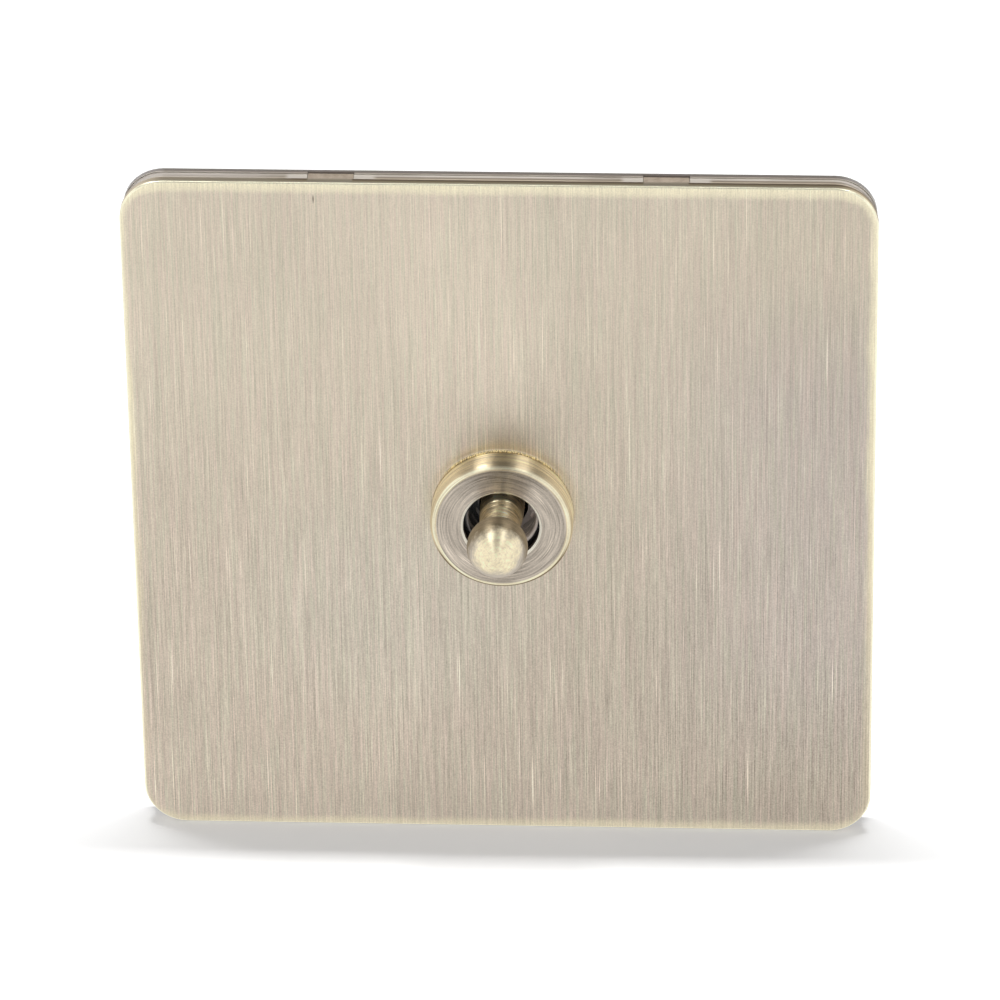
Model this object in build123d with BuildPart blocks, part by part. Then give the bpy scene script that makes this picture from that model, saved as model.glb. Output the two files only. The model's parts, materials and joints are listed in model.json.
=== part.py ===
"""Single toggle wall switch: clip-on brass plate, clear frame, turned collar and a rocking contact.

Frame: origin at the centre of the plate on the wall plane. +Z is up, the front faces -Y, and the
mechanism reaches along +Y into the wall box. All sizes are in millimetres.
"""

import os
from math import cos, radians, sin, tan

from build123d import *

# Front plate
plate_size = 86.0
plate_thickness = 1.1
plate_corner = 5.0
plate_edge_round = 0.3

# Clear frame behind the plate
frame_depth = 2.4
frame_inset = 0.3
flange_inset = 0.15
flange_depth = 0.8
frame_wall = 2.0
frame_web = 1.0
frame_inner_corner = 2.7
frame_clearance = 0.4
pad_length = 2.5
pad_depth = 0.9
stake_diameter = 2.4
stake_head_diameter = 3.8
stake_head_height = 0.3
head_taper = 25

# Spring clips between the plate and the frame
clip_spacing = 38.0
clip_width = 5.0
clip_thickness = 0.4
clip_foot = 6.0
clip_hook = 1.6
clip_clearance = 0.15
clip_sink = 0.05
sill_height = 0.45

# Steel yoke
yoke_thickness = 1.0
yoke_lap = 4.6
yoke_margin = 4.0
yoke_corner = 2.0
joggle_run = 2.0
ear_height = 14.0
ear_edge = 3.85
box_screw_spacing = 60.3
box_slot_width = 4.0
box_slot_length = 6.0

# Turned collar and its washer
collar_diameter = 16.5
collar_height = 3.0
collar_round = 0.8
collar_lip = 1.0
collar_chamfer = 0.24
collar_gap = 0.05
thread_clearance = 0.05
washer_thickness = 0.4
washer_inset = 0.6

# Toggle lever, measured along its own axis from the pivot
lever_tilt = 6.5
pivot_depth = 8.0
lever_reach = 19.3
ball_diameter = 7.0
ball_back_length = 2.85
neck_top_diameter = 4.4
neck_base_diameter = 5.1
neck_taper_start = 9.5
neck_groove = 0.1
lever_shoulder = 6.5
spigot_diameter = 3.5
spigot_length = 4.0
lip_clearance = 0.69
slot_clearance = 0.3

# Lever carrier, pivot pin, plunger and spring
pin_diameter = 2.0
pin_clearance = 0.05
hub_diameter = 6.4
hub_clearance = 0.15
arm_diameter = 4.8
arm_length = 7.0
spring_seat = 2.0
plunger_diameter = 2.8
plunger_clearance = 0.1
plunger_shank = 2.6
plunger_tip = 9.0
spring_wire = 0.35
spring_turns = 4

# Black switch housing
cover_thickness = 2.6
nose_wall = 1.57
nose_gap = 0.15
nose_dish = 0.9
dish_margin = 0.5
nose_bore_depth = 4.0
bore_round = 0.3
lug_thickness = 2.0
lug_radius = 2.6
key_width = 2.0
key_height = 1.2
base_wall = 1.6
base_floor = 2.0
base_corner = 2.0
rivet_inset = 2.7
rivet_diameter = 2.4
rivet_clearance = 0.05
rivet_head_diameter = 4.0
rivet_head_height = 0.7
boss_size = 4.6

# Rocker contact and silver tips
rocker_swing = 9.5
rocker_length = 20.0
rocker_width = 5.0
rocker_thickness = 0.9
rocker_gap = 0.12
fulcrum_offset = 0.08
fulcrum_radius = 0.42
fulcrum_gap = 0.08
contact_inset = 1.5
contact_diameter = 3.0
contact_height = 0.5
contact_gap = 0.1
fixed_contact_height = 0.55
guide_thickness = 1.2
guide_length = 2.6
guide_clearance = 0.4

# Terminals and their screws
strip_thickness = 0.8
block_width = 7.0
block_length = 5.4
block_height = 7.0
block_gap = 0.8
block_clearance = 0.2
tunnel_diameter = 3.2
tunnel_depth = 4.4
screw_diameter = 2.4
screw_clearance = 0.05
screw_head_diameter = 4.2
screw_head_height = 1.6
screw_seat_gap = 0.1
screw_slot_width = 0.7
screw_slot_depth = 0.7

os.makedirs("parts", exist_ok=True)


def at_depth(y):
    """Plane across the switch at depth y: local x is X, local y is Z, and it faces the front."""
    return Plane.XZ.offset(-y)


# Depths of the stacked pieces, front to back
plate_back = -frame_depth
plate_front = plate_back - plate_thickness
collar_front = plate_front - collar_height
yoke_back = -frame_web
yoke_front = yoke_back - yoke_thickness
collar_back = yoke_front - washer_thickness
nose_front = collar_front + collar_lip + nose_gap
pivot_y = plate_front + pivot_depth
cover_back = yoke_back + cover_thickness

# Lever axis at rest, with a plane across it and a plane along it
tilt = radians(lever_tilt)
pivot = Vector(0, pivot_y, 0)
lever_direction = Vector(0, -cos(tilt), sin(tilt))
lever_axis = Axis(pivot, lever_direction)
lever_across = Plane(origin=pivot, x_dir=(1, 0, 0), z_dir=lever_direction)
lever_along = Plane(origin=pivot, x_dir=(1, 0, 0), z_dir=(0, -sin(tilt), -cos(tilt)))

# The ball's back is drawn out a little until it meets the neck
ball_radius = ball_diameter / 2
neck_top_radius = neck_top_diameter / 2
neck_base_radius = neck_base_diameter / 2
neck_end = lever_reach - ball_back_length

# The collar's hole clears the tilted neck where it passes the collar's front
rim_distance = pivot_y - collar_front
rim_share = (rim_distance / cos(tilt) - neck_taper_start) / (neck_end - neck_taper_start)
neck_radius_at_rim = neck_base_radius - rim_share * (neck_base_radius - neck_top_radius)
collar_hole_radius = rim_distance * tan(tilt) + neck_radius_at_rim / cos(tilt) + lip_clearance
slot_half_width = neck_base_radius + slot_clearance
thread_radius = collar_hole_radius + nose_wall

# The bore in the black nose clears the tilted neck at its mouth, and the slot behind it at the bore's floor
dish_floor_y = nose_front + nose_dish
bore_distance = pivot_y - dish_floor_y
slot_distance = bore_distance - nose_bore_depth
nose_bore_radius = bore_distance * tan(tilt) + neck_base_radius / cos(tilt) + slot_clearance
slot_half_length = slot_distance * tan(tilt) + neck_base_radius / cos(tilt) + slot_clearance

# Rocker at rest: its lower end is pressed back
swing = radians(rocker_swing)
rocker_front_y = pivot_y + plunger_tip + rocker_gap
rocker_y = rocker_front_y + rocker_thickness + fulcrum_offset
rocker_plane = Plane(origin=(0, rocker_y, 0), x_dir=(1, 0, 0), z_dir=(0, -cos(swing), -sin(swing)))
contact_radius = contact_diameter / 2
contact_place = rocker_length / 2 - contact_inset
dome_radius = (contact_radius**2 + contact_height**2) / (2 * contact_height)
dome_reach = contact_height - fulcrum_offset

# The floor of the base follows the closed contact: rocker, domed tip, fixed tip, strip, floor
dome_centre_y = rocker_y + contact_place * sin(swing) - (dome_radius - dome_reach) * cos(swing)
closed_contact_y = dome_centre_y + dome_radius
fixed_contact_y = closed_contact_y + contact_gap
strip_front_y = fixed_contact_y + fixed_contact_height
floor_y = strip_front_y + strip_thickness
base_back = floor_y + base_floor

# Housing outline from what it holds
end_block_z = rocker_length / 2 + block_gap + block_length / 2
side_block_x = rocker_width / 2 + guide_clearance + guide_thickness + block_gap + block_length / 2
module_width = 2 * (side_block_x + block_length / 2 + block_clearance + base_wall)
module_height = 2 * (end_block_z + block_length / 2 + block_clearance + base_wall)
tunnel_y = floor_y - tunnel_depth
rivet_places = [
    (side * (module_width / 2 - rivet_inset), end * (module_height / 2 - rivet_inset))
    for side in (-1, 1)
    for end in (-1, 1)
]

# Frame and yoke outlines around the housing
frame_size = plate_size - 2 * frame_inset
flange_size = plate_size - 2 * flange_inset
opening_width = module_width + 2 * frame_clearance
opening_height = module_height + 2 * frame_clearance
yoke_width = module_width + 2 * yoke_margin
yoke_height = opening_height + 2 * yoke_lap
ear_end = box_screw_spacing / 2 + box_slot_length / 2 + ear_edge
stake_places = [
    (side * (yoke_width - 2 * stake_head_diameter) / 2, end * (opening_height + yoke_lap) / 2)
    for side in (-1, 1)
    for end in (-1, 1)
]
earth_x = yoke_width / 2 + joggle_run + block_width / 2

# Places of the clips along the top and bottom sides of the frame
clip_outer = frame_size / 2 - clip_sink
clip_inner = clip_outer - clip_thickness
window_width = clip_width + 2 * clip_clearance
window_back = -sill_height
hook_back = window_back - clip_clearance
hook_front = hook_back - clip_thickness
wall_inner = frame_size / 2 - frame_wall
clip_places = [(side * clip_spacing / 2, end) for side in (-1, 1) for end in (-1, 1)]


# Front plate: square brass sheet with a softened front edge and a hole that clears the collar
with BuildPart() as front_plate:
    with BuildSketch(at_depth(plate_back)):
        RectangleRounded(plate_size, plate_size, plate_corner)
        Circle(collar_diameter / 2 + collar_gap, mode=Mode.SUBTRACT)
    extrude(amount=plate_thickness)
    fillet(front_plate.faces().sort_by(Axis.Y)[0].outer_wire().edges(), plate_edge_round)
front_plate.part.label = "front_plate"
export_step(front_plate.part, "parts/front_plate.step")


# Clear frame: rim and web in one moulding, with clip windows and pins staked over the yoke
with BuildPart() as clip_frame:
    with BuildSketch(at_depth(0)):
        RectangleRounded(frame_size, frame_size, plate_corner - frame_inset)
    extrude(amount=frame_depth)
    with BuildSketch(at_depth(0)):
        RectangleRounded(flange_size, flange_size, plate_corner - flange_inset)
    extrude(amount=flange_depth)
    with BuildSketch(at_depth(yoke_back)):
        RectangleRounded(2 * wall_inner, 2 * wall_inner, frame_inner_corner)
    extrude(amount=frame_depth - frame_web, mode=Mode.SUBTRACT)
    with BuildSketch(at_depth(0)):
        Rectangle(opening_width, opening_height)
        Rectangle(2 * (ear_end + frame_clearance), ear_height + 2 * frame_clearance)
    extrude(amount=frame_web, mode=Mode.SUBTRACT)
    # Thicker stretches of the rim on both sides of each clip
    with BuildSketch(at_depth(yoke_back)):
        for x, end in clip_places:
            for side in (-1, 1):
                pad_x = x + side * (window_width + pad_length) / 2
                with Locations((pad_x, end * (wall_inner - pad_depth / 2))):
                    Rectangle(pad_length, pad_depth)
    extrude(amount=frame_depth - frame_web)
    # Clip windows: outer pocket for the leg, notch for the foot and slot for the hook
    for inner, back, height in (
        (clip_inner - clip_clearance, window_back, frame_depth - sill_height),
        (wall_inner, plate_back + clip_thickness + clip_clearance, clip_thickness + clip_clearance),
        (clip_outer - clip_hook - clip_clearance, window_back, clip_thickness + 2 * clip_clearance),
    ):
        with BuildSketch(at_depth(back)):
            for x, end in clip_places:
                with Locations((x, end * (inner + plate_size / 2) / 2)):
                    Rectangle(window_width, plate_size / 2 - inner)
        extrude(amount=height, mode=Mode.SUBTRACT)
    # Pins through the yoke with flattened heads
    with BuildSketch(at_depth(yoke_back)):
        with Locations(*stake_places):
            Circle(stake_diameter / 2)
    extrude(amount=yoke_thickness)
    with BuildSketch(at_depth(yoke_front)):
        with Locations(*stake_places):
            Circle(stake_head_diameter / 2)
    extrude(amount=stake_head_height, taper=head_taper)
clip_frame.part.label = "clip_frame"
export_step(clip_frame.part, "parts/clip_frame.step")


# Spring clips: foot on the back of the plate, leg down the frame's side, hook under the frame's bar
with BuildPart() as plate_clips:
    for x, end in clip_places:
        with BuildSketch(Plane.YZ.offset(x)):
            with BuildLine():
                Polyline(
                    (plate_back, end * (clip_outer - clip_foot)),
                    (plate_back, end * clip_outer),
                    (hook_back, end * clip_outer),
                    (hook_back, end * (clip_outer - clip_hook)),
                    (hook_front, end * (clip_outer - clip_hook)),
                    (hook_front, end * clip_inner),
                    (plate_back + clip_thickness, end * clip_inner),
                    (plate_back + clip_thickness, end * (clip_outer - clip_foot)),
                    close=True,
                )
            make_face()
        extrude(amount=clip_width / 2, both=True)
plate_clips.part.label = "plate_clips"
export_step(plate_clips.part, "parts/plate_clips.step")


# Yoke: pressed steel plate behind the front plate, with ears set back onto the wall box
with BuildPart() as yoke_plate:
    with BuildSketch(at_depth(yoke_back)):
        RectangleRounded(yoke_width, yoke_height, yoke_corner)
    extrude(amount=yoke_thickness)
    with BuildSketch(Plane.XY):
        with BuildLine():
            Polyline(
                (0, yoke_front),
                (yoke_width / 2, yoke_front),
                (yoke_width / 2 + joggle_run, -yoke_thickness),
                (ear_end, -yoke_thickness),
                (ear_end, 0),
                (yoke_width / 2 + joggle_run, 0),
                (yoke_width / 2, yoke_back),
                (0, yoke_back),
                close=True,
            )
        make_face()
    extrude(amount=ear_height / 2, both=True)
    mirror(about=Plane.YZ)
    fillet(yoke_plate.edges().filter_by(Axis.Y).group_by(Axis.X)[-1], yoke_corner)
    fillet(yoke_plate.edges().filter_by(Axis.Y).group_by(Axis.X)[0], yoke_corner)
    with BuildSketch(at_depth(0)):
        with Locations((-box_screw_spacing / 2, 0), (box_screw_spacing / 2, 0)):
            SlotOverall(box_slot_length, box_slot_width)
        Circle(thread_radius + thread_clearance)
        with Locations((0, -thread_radius)):
            Rectangle(key_width + 2 * hub_clearance, 2 * (key_height + hub_clearance))
        with Locations(*stake_places):
            Circle(stake_diameter / 2 + thread_clearance)
    extrude(amount=frame_depth, mode=Mode.SUBTRACT)
yoke_plate.part.label = "yoke_plate"
export_step(yoke_plate.part, "parts/yoke_plate.step")


# Lock washer between the collar and the yoke
with BuildPart() as lock_washer:
    with BuildSketch(at_depth(yoke_front)):
        Circle(collar_diameter / 2 - washer_inset)
        Circle(thread_radius + thread_clearance, mode=Mode.SUBTRACT)
    extrude(amount=washer_thickness)
lock_washer.part.label = "lock_washer"
export_step(lock_washer.part, "parts/lock_washer.step")


# Collar: turned ring nut on the cover's threaded nose, with an inward lip around the lever
collar_bore_radius = thread_radius + thread_clearance
with BuildPart() as collar_ring:
    with BuildSketch(at_depth(collar_back)):
        Circle(collar_diameter / 2)
        Circle(collar_hole_radius, mode=Mode.SUBTRACT)
    extrude(amount=collar_back - collar_front)
    with BuildSketch(at_depth(collar_back)):
        Circle(collar_bore_radius)
    extrude(amount=collar_back - collar_front - collar_lip, mode=Mode.SUBTRACT)
    front_rims = collar_ring.faces().sort_by(Axis.Y)[0].edges().sort_by(SortBy.RADIUS)
    fillet(front_rims[-1], collar_round)
    chamfer(front_rims[0], collar_chamfer)
collar_ring.part.label = "collar_ring"
export_step(collar_ring.part, "parts/collar_ring.step")


# Switch cover: black front moulding with the threaded nose and the two pivot lugs
with BuildPart() as switch_cover:
    with BuildSketch(at_depth(cover_back)):
        RectangleRounded(module_width, module_height, base_corner)
    extrude(amount=cover_thickness)
    with BuildSketch(at_depth(yoke_back)):
        Circle(thread_radius)
    extrude(amount=yoke_back - nose_front)
    with BuildSketch(at_depth(yoke_back)):
        with Locations((0, -thread_radius)):
            Rectangle(key_width, 2 * key_height)
    extrude(amount=yoke_thickness)
    # Lugs on both sides of the lever, rounded about the pivot
    for side in (-1, 1):
        lug_centre = side * (slot_half_width + lug_thickness / 2)
        with BuildSketch(Plane.YZ.offset(lug_centre)):
            with Locations((pivot_y, 0)):
                Circle(lug_radius)
            with Locations(((cover_back + pivot_y) / 2, 0)):
                Rectangle(pivot_y - cover_back, 2 * lug_radius)
        extrude(amount=lug_thickness / 2, both=True)
    with BuildSketch(at_depth(cover_back)):
        SlotOverall(2 * slot_half_length, 2 * slot_half_width, rotation=90)
    extrude(amount=cover_back - nose_front, mode=Mode.SUBTRACT)
    # Shallow dish behind the collar's lip, with a round bore in its floor
    with BuildSketch(at_depth(nose_front)):
        Circle(collar_hole_radius + dish_margin)
    extrude(amount=-nose_dish, mode=Mode.SUBTRACT)
    with BuildSketch(at_depth(dish_floor_y)):
        Circle(nose_bore_radius)
    extrude(amount=-nose_bore_depth, mode=Mode.SUBTRACT)
    dish_floor = switch_cover.faces().filter_by(Axis.Y).sort_by(Axis.Y)[1]
    fillet(dish_floor.inner_wires()[0].edges(), bore_round)
    with BuildSketch(Plane.YZ):
        with Locations((pivot_y, 0)):
            Circle(pin_diameter / 2)
    extrude(amount=module_width / 2, both=True, mode=Mode.SUBTRACT)
    with BuildSketch(at_depth(cover_back)):
        with Locations(*rivet_places):
            Circle(rivet_diameter / 2 + rivet_clearance)
    extrude(amount=cover_thickness, mode=Mode.SUBTRACT)
    with BuildSketch(at_depth(yoke_back)):
        with Locations(*rivet_places):
            Circle(rivet_head_diameter / 2 + hub_clearance)
    extrude(amount=-(rivet_head_height + hub_clearance), mode=Mode.SUBTRACT)
switch_cover.part.label = "switch_cover"
export_step(switch_cover.part, "parts/switch_cover.step")


# Switch base: black tub with corner bosses, wire entries, screw holes and rocker guides
guide_x = rocker_width / 2 + guide_clearance + guide_thickness / 2
guide_z = block_width / 2 + guide_clearance + guide_length / 2
with BuildPart() as switch_base:
    with BuildSketch(at_depth(base_back)):
        RectangleRounded(module_width, module_height, base_corner)
    extrude(amount=base_back - cover_back)
    with BuildSketch(at_depth(floor_y)):
        Rectangle(module_width - 2 * base_wall, module_height - 2 * base_wall)
    extrude(amount=floor_y - cover_back, mode=Mode.SUBTRACT)
    with BuildSketch(at_depth(floor_y)):
        for x, z in rivet_places:
            reach = boss_size / 2 + rivet_inset - base_wall
            corner_x = abs(x) + rivet_inset - base_wall - reach / 2
            corner_z = abs(z) + rivet_inset - base_wall - reach / 2
            with Locations((corner_x * x / abs(x), corner_z * z / abs(z))):
                Rectangle(reach, reach)
    extrude(amount=floor_y - cover_back)
    with BuildSketch(at_depth(floor_y)):
        with GridLocations(2 * guide_x, 2 * guide_z, 2, 2):
            Rectangle(guide_thickness, guide_length)
    extrude(amount=floor_y - rocker_front_y)
    with BuildSketch(at_depth(base_back)):
        with Locations(*rivet_places):
            Circle(rivet_diameter / 2 + rivet_clearance)
    extrude(amount=base_back - cover_back, mode=Mode.SUBTRACT)
    with BuildSketch(at_depth(base_back)):
        with Locations((0, end_block_z), (0, -end_block_z), (side_block_x, 0)):
            Circle(screw_head_diameter / 2 + clip_clearance)
    extrude(amount=base_floor, mode=Mode.SUBTRACT)
    with BuildSketch(Plane.XY):
        with Locations((0, tunnel_y)):
            Circle(tunnel_diameter / 2)
    extrude(amount=module_height / 2, both=True, mode=Mode.SUBTRACT)
    with BuildSketch(Plane.YZ):
        with Locations((tunnel_y, 0)):
            Circle(tunnel_diameter / 2)
    extrude(amount=module_width / 2, mode=Mode.SUBTRACT)
switch_base.part.label = "switch_base"
export_step(switch_base.part, "parts/switch_base.step")


# Rivets through the cover and the base
with BuildPart() as housing_rivets:
    rivet_seat = yoke_back + rivet_head_height + hub_clearance
    with BuildSketch(at_depth(rivet_seat)):
        with Locations(*rivet_places):
            Circle(rivet_head_diameter / 2)
    extrude(amount=rivet_head_height)
    with BuildSketch(at_depth(base_back)):
        with Locations(*rivet_places):
            Circle(rivet_diameter / 2)
    extrude(amount=base_back - rivet_seat)
    with BuildSketch(at_depth(base_back)):
        with Locations(*rivet_places):
            Circle(rivet_head_diameter / 2)
    extrude(amount=-rivet_head_height, taper=head_taper)
housing_rivets.part.label = "housing_rivets"
export_step(housing_rivets.part, "parts/housing_rivets.step")


# Pivot pin, held in the cover's lugs
with BuildPart() as pivot_pin:
    with BuildSketch(Plane.YZ):
        with Locations((pivot_y, 0)):
            Circle(pin_diameter / 2)
    extrude(amount=slot_half_width + lug_thickness, both=True)
pivot_pin.part.label = "pivot_pin"
export_step(pivot_pin.part, "parts/pivot_pin.step")


# Toggle lever: turned brass, from the spigot in the carrier to the ball
with BuildPart() as toggle_lever:
    with BuildSketch(lever_along):
        with BuildLine():
            Polyline(
                (0, lever_reach + ball_radius),
                (0, lever_shoulder - spigot_length),
                (spigot_diameter / 2, lever_shoulder - spigot_length),
                (spigot_diameter / 2, lever_shoulder),
                (neck_base_radius, lever_shoulder),
                (neck_base_radius, neck_taper_start),
                (neck_top_radius, neck_end - neck_groove),
                (neck_top_radius - neck_groove, neck_end - neck_groove / 2),
                (neck_top_radius, neck_end),
            )
            TangentArc((ball_radius, lever_reach), (neck_top_radius, neck_end), tangent=(0, -1))
            CenterArc((0, lever_reach), ball_radius, 0, 90)
        make_face()
    revolve(axis=lever_axis)
toggle_lever.part.label = "toggle_lever"
export_step(toggle_lever.part, "parts/toggle_lever.step")


# Lever carrier: moulded hub on the pin, with a socket for the lever and a bore for the plunger
with BuildPart() as lever_carrier:
    with BuildSketch(lever_across):
        Circle(neck_base_radius)
    extrude(amount=lever_shoulder)
    with BuildSketch(lever_across):
        Circle(arm_diameter / 2)
    extrude(amount=-arm_length)
    with BuildSketch(Plane.YZ):
        with Locations((pivot_y, 0)):
            Circle(hub_diameter / 2)
    extrude(amount=slot_half_width - hub_clearance, both=True)
    with BuildSketch(Plane.YZ):
        with Locations((pivot_y, 0)):
            Circle(pin_diameter / 2 + pin_clearance)
    extrude(amount=slot_half_width, both=True, mode=Mode.SUBTRACT)
    with BuildSketch(lever_across.offset(lever_shoulder - spigot_length)):
        Circle(spigot_diameter / 2)
    extrude(amount=spigot_length, mode=Mode.SUBTRACT)
    with BuildSketch(lever_across.offset(-arm_length)):
        Circle(plunger_diameter / 2 + plunger_clearance)
    extrude(amount=arm_length - spring_seat, mode=Mode.SUBTRACT)
lever_carrier.part.label = "lever_carrier"
export_step(lever_carrier.part, "parts/lever_carrier.step")


# Plunger: round-nosed pin that the spring presses on the rocker
plunger_radius = plunger_diameter / 2
plunger_back = plunger_tip - plunger_radius - plunger_shank
with BuildPart() as plunger:
    with BuildSketch(lever_along):
        with BuildLine():
            Polyline(
                (0, -plunger_tip),
                (0, -plunger_back),
                (plunger_radius, -plunger_back),
                (plunger_radius, plunger_radius - plunger_tip),
            )
            CenterArc((0, plunger_radius - plunger_tip), plunger_radius, -90, 90)
        make_face()
    revolve(axis=lever_axis)
plunger.part.label = "plunger"
export_step(plunger.part, "parts/plunger.step")


# Plunger spring: round wire, wound between the bore's end and the plunger
spring_length = plunger_back - spring_seat - spring_wire
spring_pitch = spring_length / spring_turns
spring_radius = plunger_radius - spring_wire / 2
spring_start = pivot - lever_direction * (plunger_back - spring_wire / 2)
with BuildPart() as plunger_spring:
    with BuildLine():
        coil = Helix(spring_pitch, spring_length, spring_radius, spring_start, lever_direction)
    with BuildSketch(Plane(origin=coil @ 0, z_dir=coil % 0)):
        Circle(spring_wire / 2)
    sweep(is_frenet=True)
plunger_spring.part.label = "plunger_spring"
export_step(plunger_spring.part, "parts/plunger_spring.step")


# Rocker contact: copper strip with a round groove across its back, in which the fulcrum sits
with BuildPart() as rocker_contact:
    with BuildSketch(rocker_plane.offset(fulcrum_offset)):
        SlotOverall(rocker_length, rocker_width, rotation=90)
    extrude(amount=rocker_thickness)
    with BuildSketch(Plane.YZ):
        with Locations((rocker_y, 0)):
            Circle(fulcrum_radius + fulcrum_gap)
    extrude(amount=rocker_width, both=True, mode=Mode.SUBTRACT)
rocker_contact.part.label = "rocker_contact"
export_step(rocker_contact.part, "parts/rocker_contact.step")


# Domed silver tips on the back of the rocker
with BuildPart() as moving_contact_tips:
    for end in (-1, 1):
        tip_centre = rocker_plane.from_local_coords((0, end * contact_place, fulcrum_offset))
        tip_axis = Axis(tip_centre, rocker_plane.z_dir)
        with BuildSketch(Plane(origin=tip_centre, x_dir=(1, 0, 0), z_dir=-rocker_plane.y_dir)):
            with BuildLine():
                Polyline((0, -contact_height), (0, 0), (contact_radius, 0))
                RadiusArc((contact_radius, 0), (0, -contact_height), dome_radius)
            make_face()
        revolve(axis=tip_axis)
moving_contact_tips.part.label = "moving_contact_tips"
export_step(moving_contact_tips.part, "parts/moving_contact_tips.step")


# End terminals: clamping block with a wire tunnel, and a tongue under the rocker's end
strip_inner_z = contact_place * cos(swing) - contact_radius - clip_clearance
for name, end in (("lower_terminal", -1), ("upper_terminal", 1)):
    with BuildPart() as terminal:
        with BuildSketch(at_depth(floor_y)):
            with Locations((0, end * end_block_z)):
                Rectangle(block_width, block_length)
        extrude(amount=block_height)
        with BuildSketch(at_depth(floor_y)):
            with Locations((0, end * (strip_inner_z + end_block_z) / 2)):
                Rectangle(rocker_width, end_block_z - strip_inner_z)
        extrude(amount=strip_thickness)
        with BuildSketch(Plane.XY):
            with Locations((0, tunnel_y)):
                Circle(tunnel_diameter / 2)
        extrude(amount=end * module_height / 2, mode=Mode.SUBTRACT)
        with BuildSketch(at_depth(floor_y)):
            with Locations((0, end * end_block_z)):
                Circle(screw_diameter / 2 + screw_clearance)
        extrude(amount=tunnel_depth, mode=Mode.SUBTRACT)
    terminal.part.label = name
    export_step(terminal.part, "parts/" + name + ".step")


# Common terminal: clamping block at the side, strip across the floor and a round-topped fulcrum rib
with BuildPart() as common_terminal:
    with BuildSketch(at_depth(floor_y)):
        with Locations((side_block_x, 0)):
            Rectangle(block_length, block_width)
    extrude(amount=block_height)
    with BuildSketch(at_depth(floor_y)):
        with Locations(((side_block_x - rocker_width / 2) / 2, 0)):
            Rectangle(side_block_x + rocker_width / 2, rocker_width)
    extrude(amount=strip_thickness)
    with BuildSketch(Plane.YZ):
        with Locations((tunnel_y, 0)):
            Circle(tunnel_diameter / 2)
    extrude(amount=module_width / 2, mode=Mode.SUBTRACT)
    with BuildSketch(at_depth(floor_y)):
        with Locations((side_block_x, 0)):
            Circle(screw_diameter / 2 + screw_clearance)
    extrude(amount=tunnel_depth, mode=Mode.SUBTRACT)
    with BuildSketch(Plane.YZ):
        with Locations((rocker_y, 0)):
            Circle(fulcrum_radius)
        with Locations(((rocker_y + strip_front_y) / 2, 0)):
            Rectangle(strip_front_y - rocker_y, 2 * fulcrum_radius)
    extrude(amount=rocker_width / 2, both=True)
common_terminal.part.label = "common_terminal"
export_step(common_terminal.part, "parts/common_terminal.step")


# Fixed silver tips on the end terminals
with BuildPart() as fixed_contact_tips:
    with BuildSketch(at_depth(strip_front_y)):
        with Locations((0, contact_place * cos(swing)), (0, -contact_place * cos(swing))):
            Circle(contact_radius)
    extrude(amount=fixed_contact_height)
fixed_contact_tips.part.label = "fixed_contact_tips"
export_step(fixed_contact_tips.part, "parts/fixed_contact_tips.step")


# Earth terminal: clamping block on the back of the yoke's right ear
with BuildPart() as earth_terminal:
    with BuildSketch(at_depth(block_height)):
        with Locations((earth_x, 0)):
            Rectangle(block_width, block_length)
    extrude(amount=block_height)
    with BuildSketch(Plane.XY):
        with Locations((earth_x, block_height - tunnel_depth)):
            Circle(tunnel_diameter / 2)
    extrude(amount=block_length, both=True, mode=Mode.SUBTRACT)
    with BuildSketch(at_depth(block_height)):
        with Locations((earth_x, 0)):
            Circle(screw_diameter / 2 + screw_clearance)
    extrude(amount=tunnel_depth, mode=Mode.SUBTRACT)
earth_terminal.part.label = "earth_terminal"
export_step(earth_terminal.part, "parts/earth_terminal.step")


# Slotted terminal screws: three in the base and one in the earth block
screw_shank = tunnel_depth - tunnel_diameter / 2
screw_sets = {
    "terminal_screws": (floor_y, [(0, end_block_z), (0, -end_block_z), (side_block_x, 0)]),
    "earth_screw": (block_height, [(earth_x, 0)]),
}
for name, (block_back, places) in screw_sets.items():
    head_front = block_back + screw_seat_gap
    with BuildPart() as screws:
        with BuildSketch(at_depth(head_front + screw_head_height)):
            with Locations(*places):
                Circle(screw_head_diameter / 2)
        extrude(amount=screw_head_height)
        with BuildSketch(at_depth(head_front + screw_head_height)):
            with Locations(*places):
                Rectangle(screw_head_diameter, screw_slot_width)
        extrude(amount=screw_slot_depth, mode=Mode.SUBTRACT)
        with BuildSketch(at_depth(head_front)):
            with Locations(*places):
                Circle(screw_diameter / 2)
        extrude(amount=screw_shank)
    screws.part.label = name
    export_step(screws.part, "parts/" + name + ".step")

print("collar hole", round(2 * collar_hole_radius, 3), "thread", round(2 * thread_radius, 3))
print("module", round(module_width, 2), "x", round(module_height, 2), "floor at", round(floor_y, 4))
print("pivot", pivot_y, "rocker axis", round(rocker_y, 3), "earth block at", round(earth_x, 3))
print("ball centre", lever_direction * lever_reach + pivot)
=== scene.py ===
# %% [markdown]
# # A toggle light switch in aged brass
# The part is a single wall switch: a square brushed plate that clips onto a clear frame, a turned collar,
# and a ball-ended lever that tips a rocking contact in a black housing. The solids come from the CAD model
# and stay where they are. This lesson gives them their finishes, and swaps the pieces that catch the light
# for finer ones of the same size.

# %% Load the frame
import json
import math

import bmesh
import bpy
from mathutils import Matrix, Vector

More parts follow.
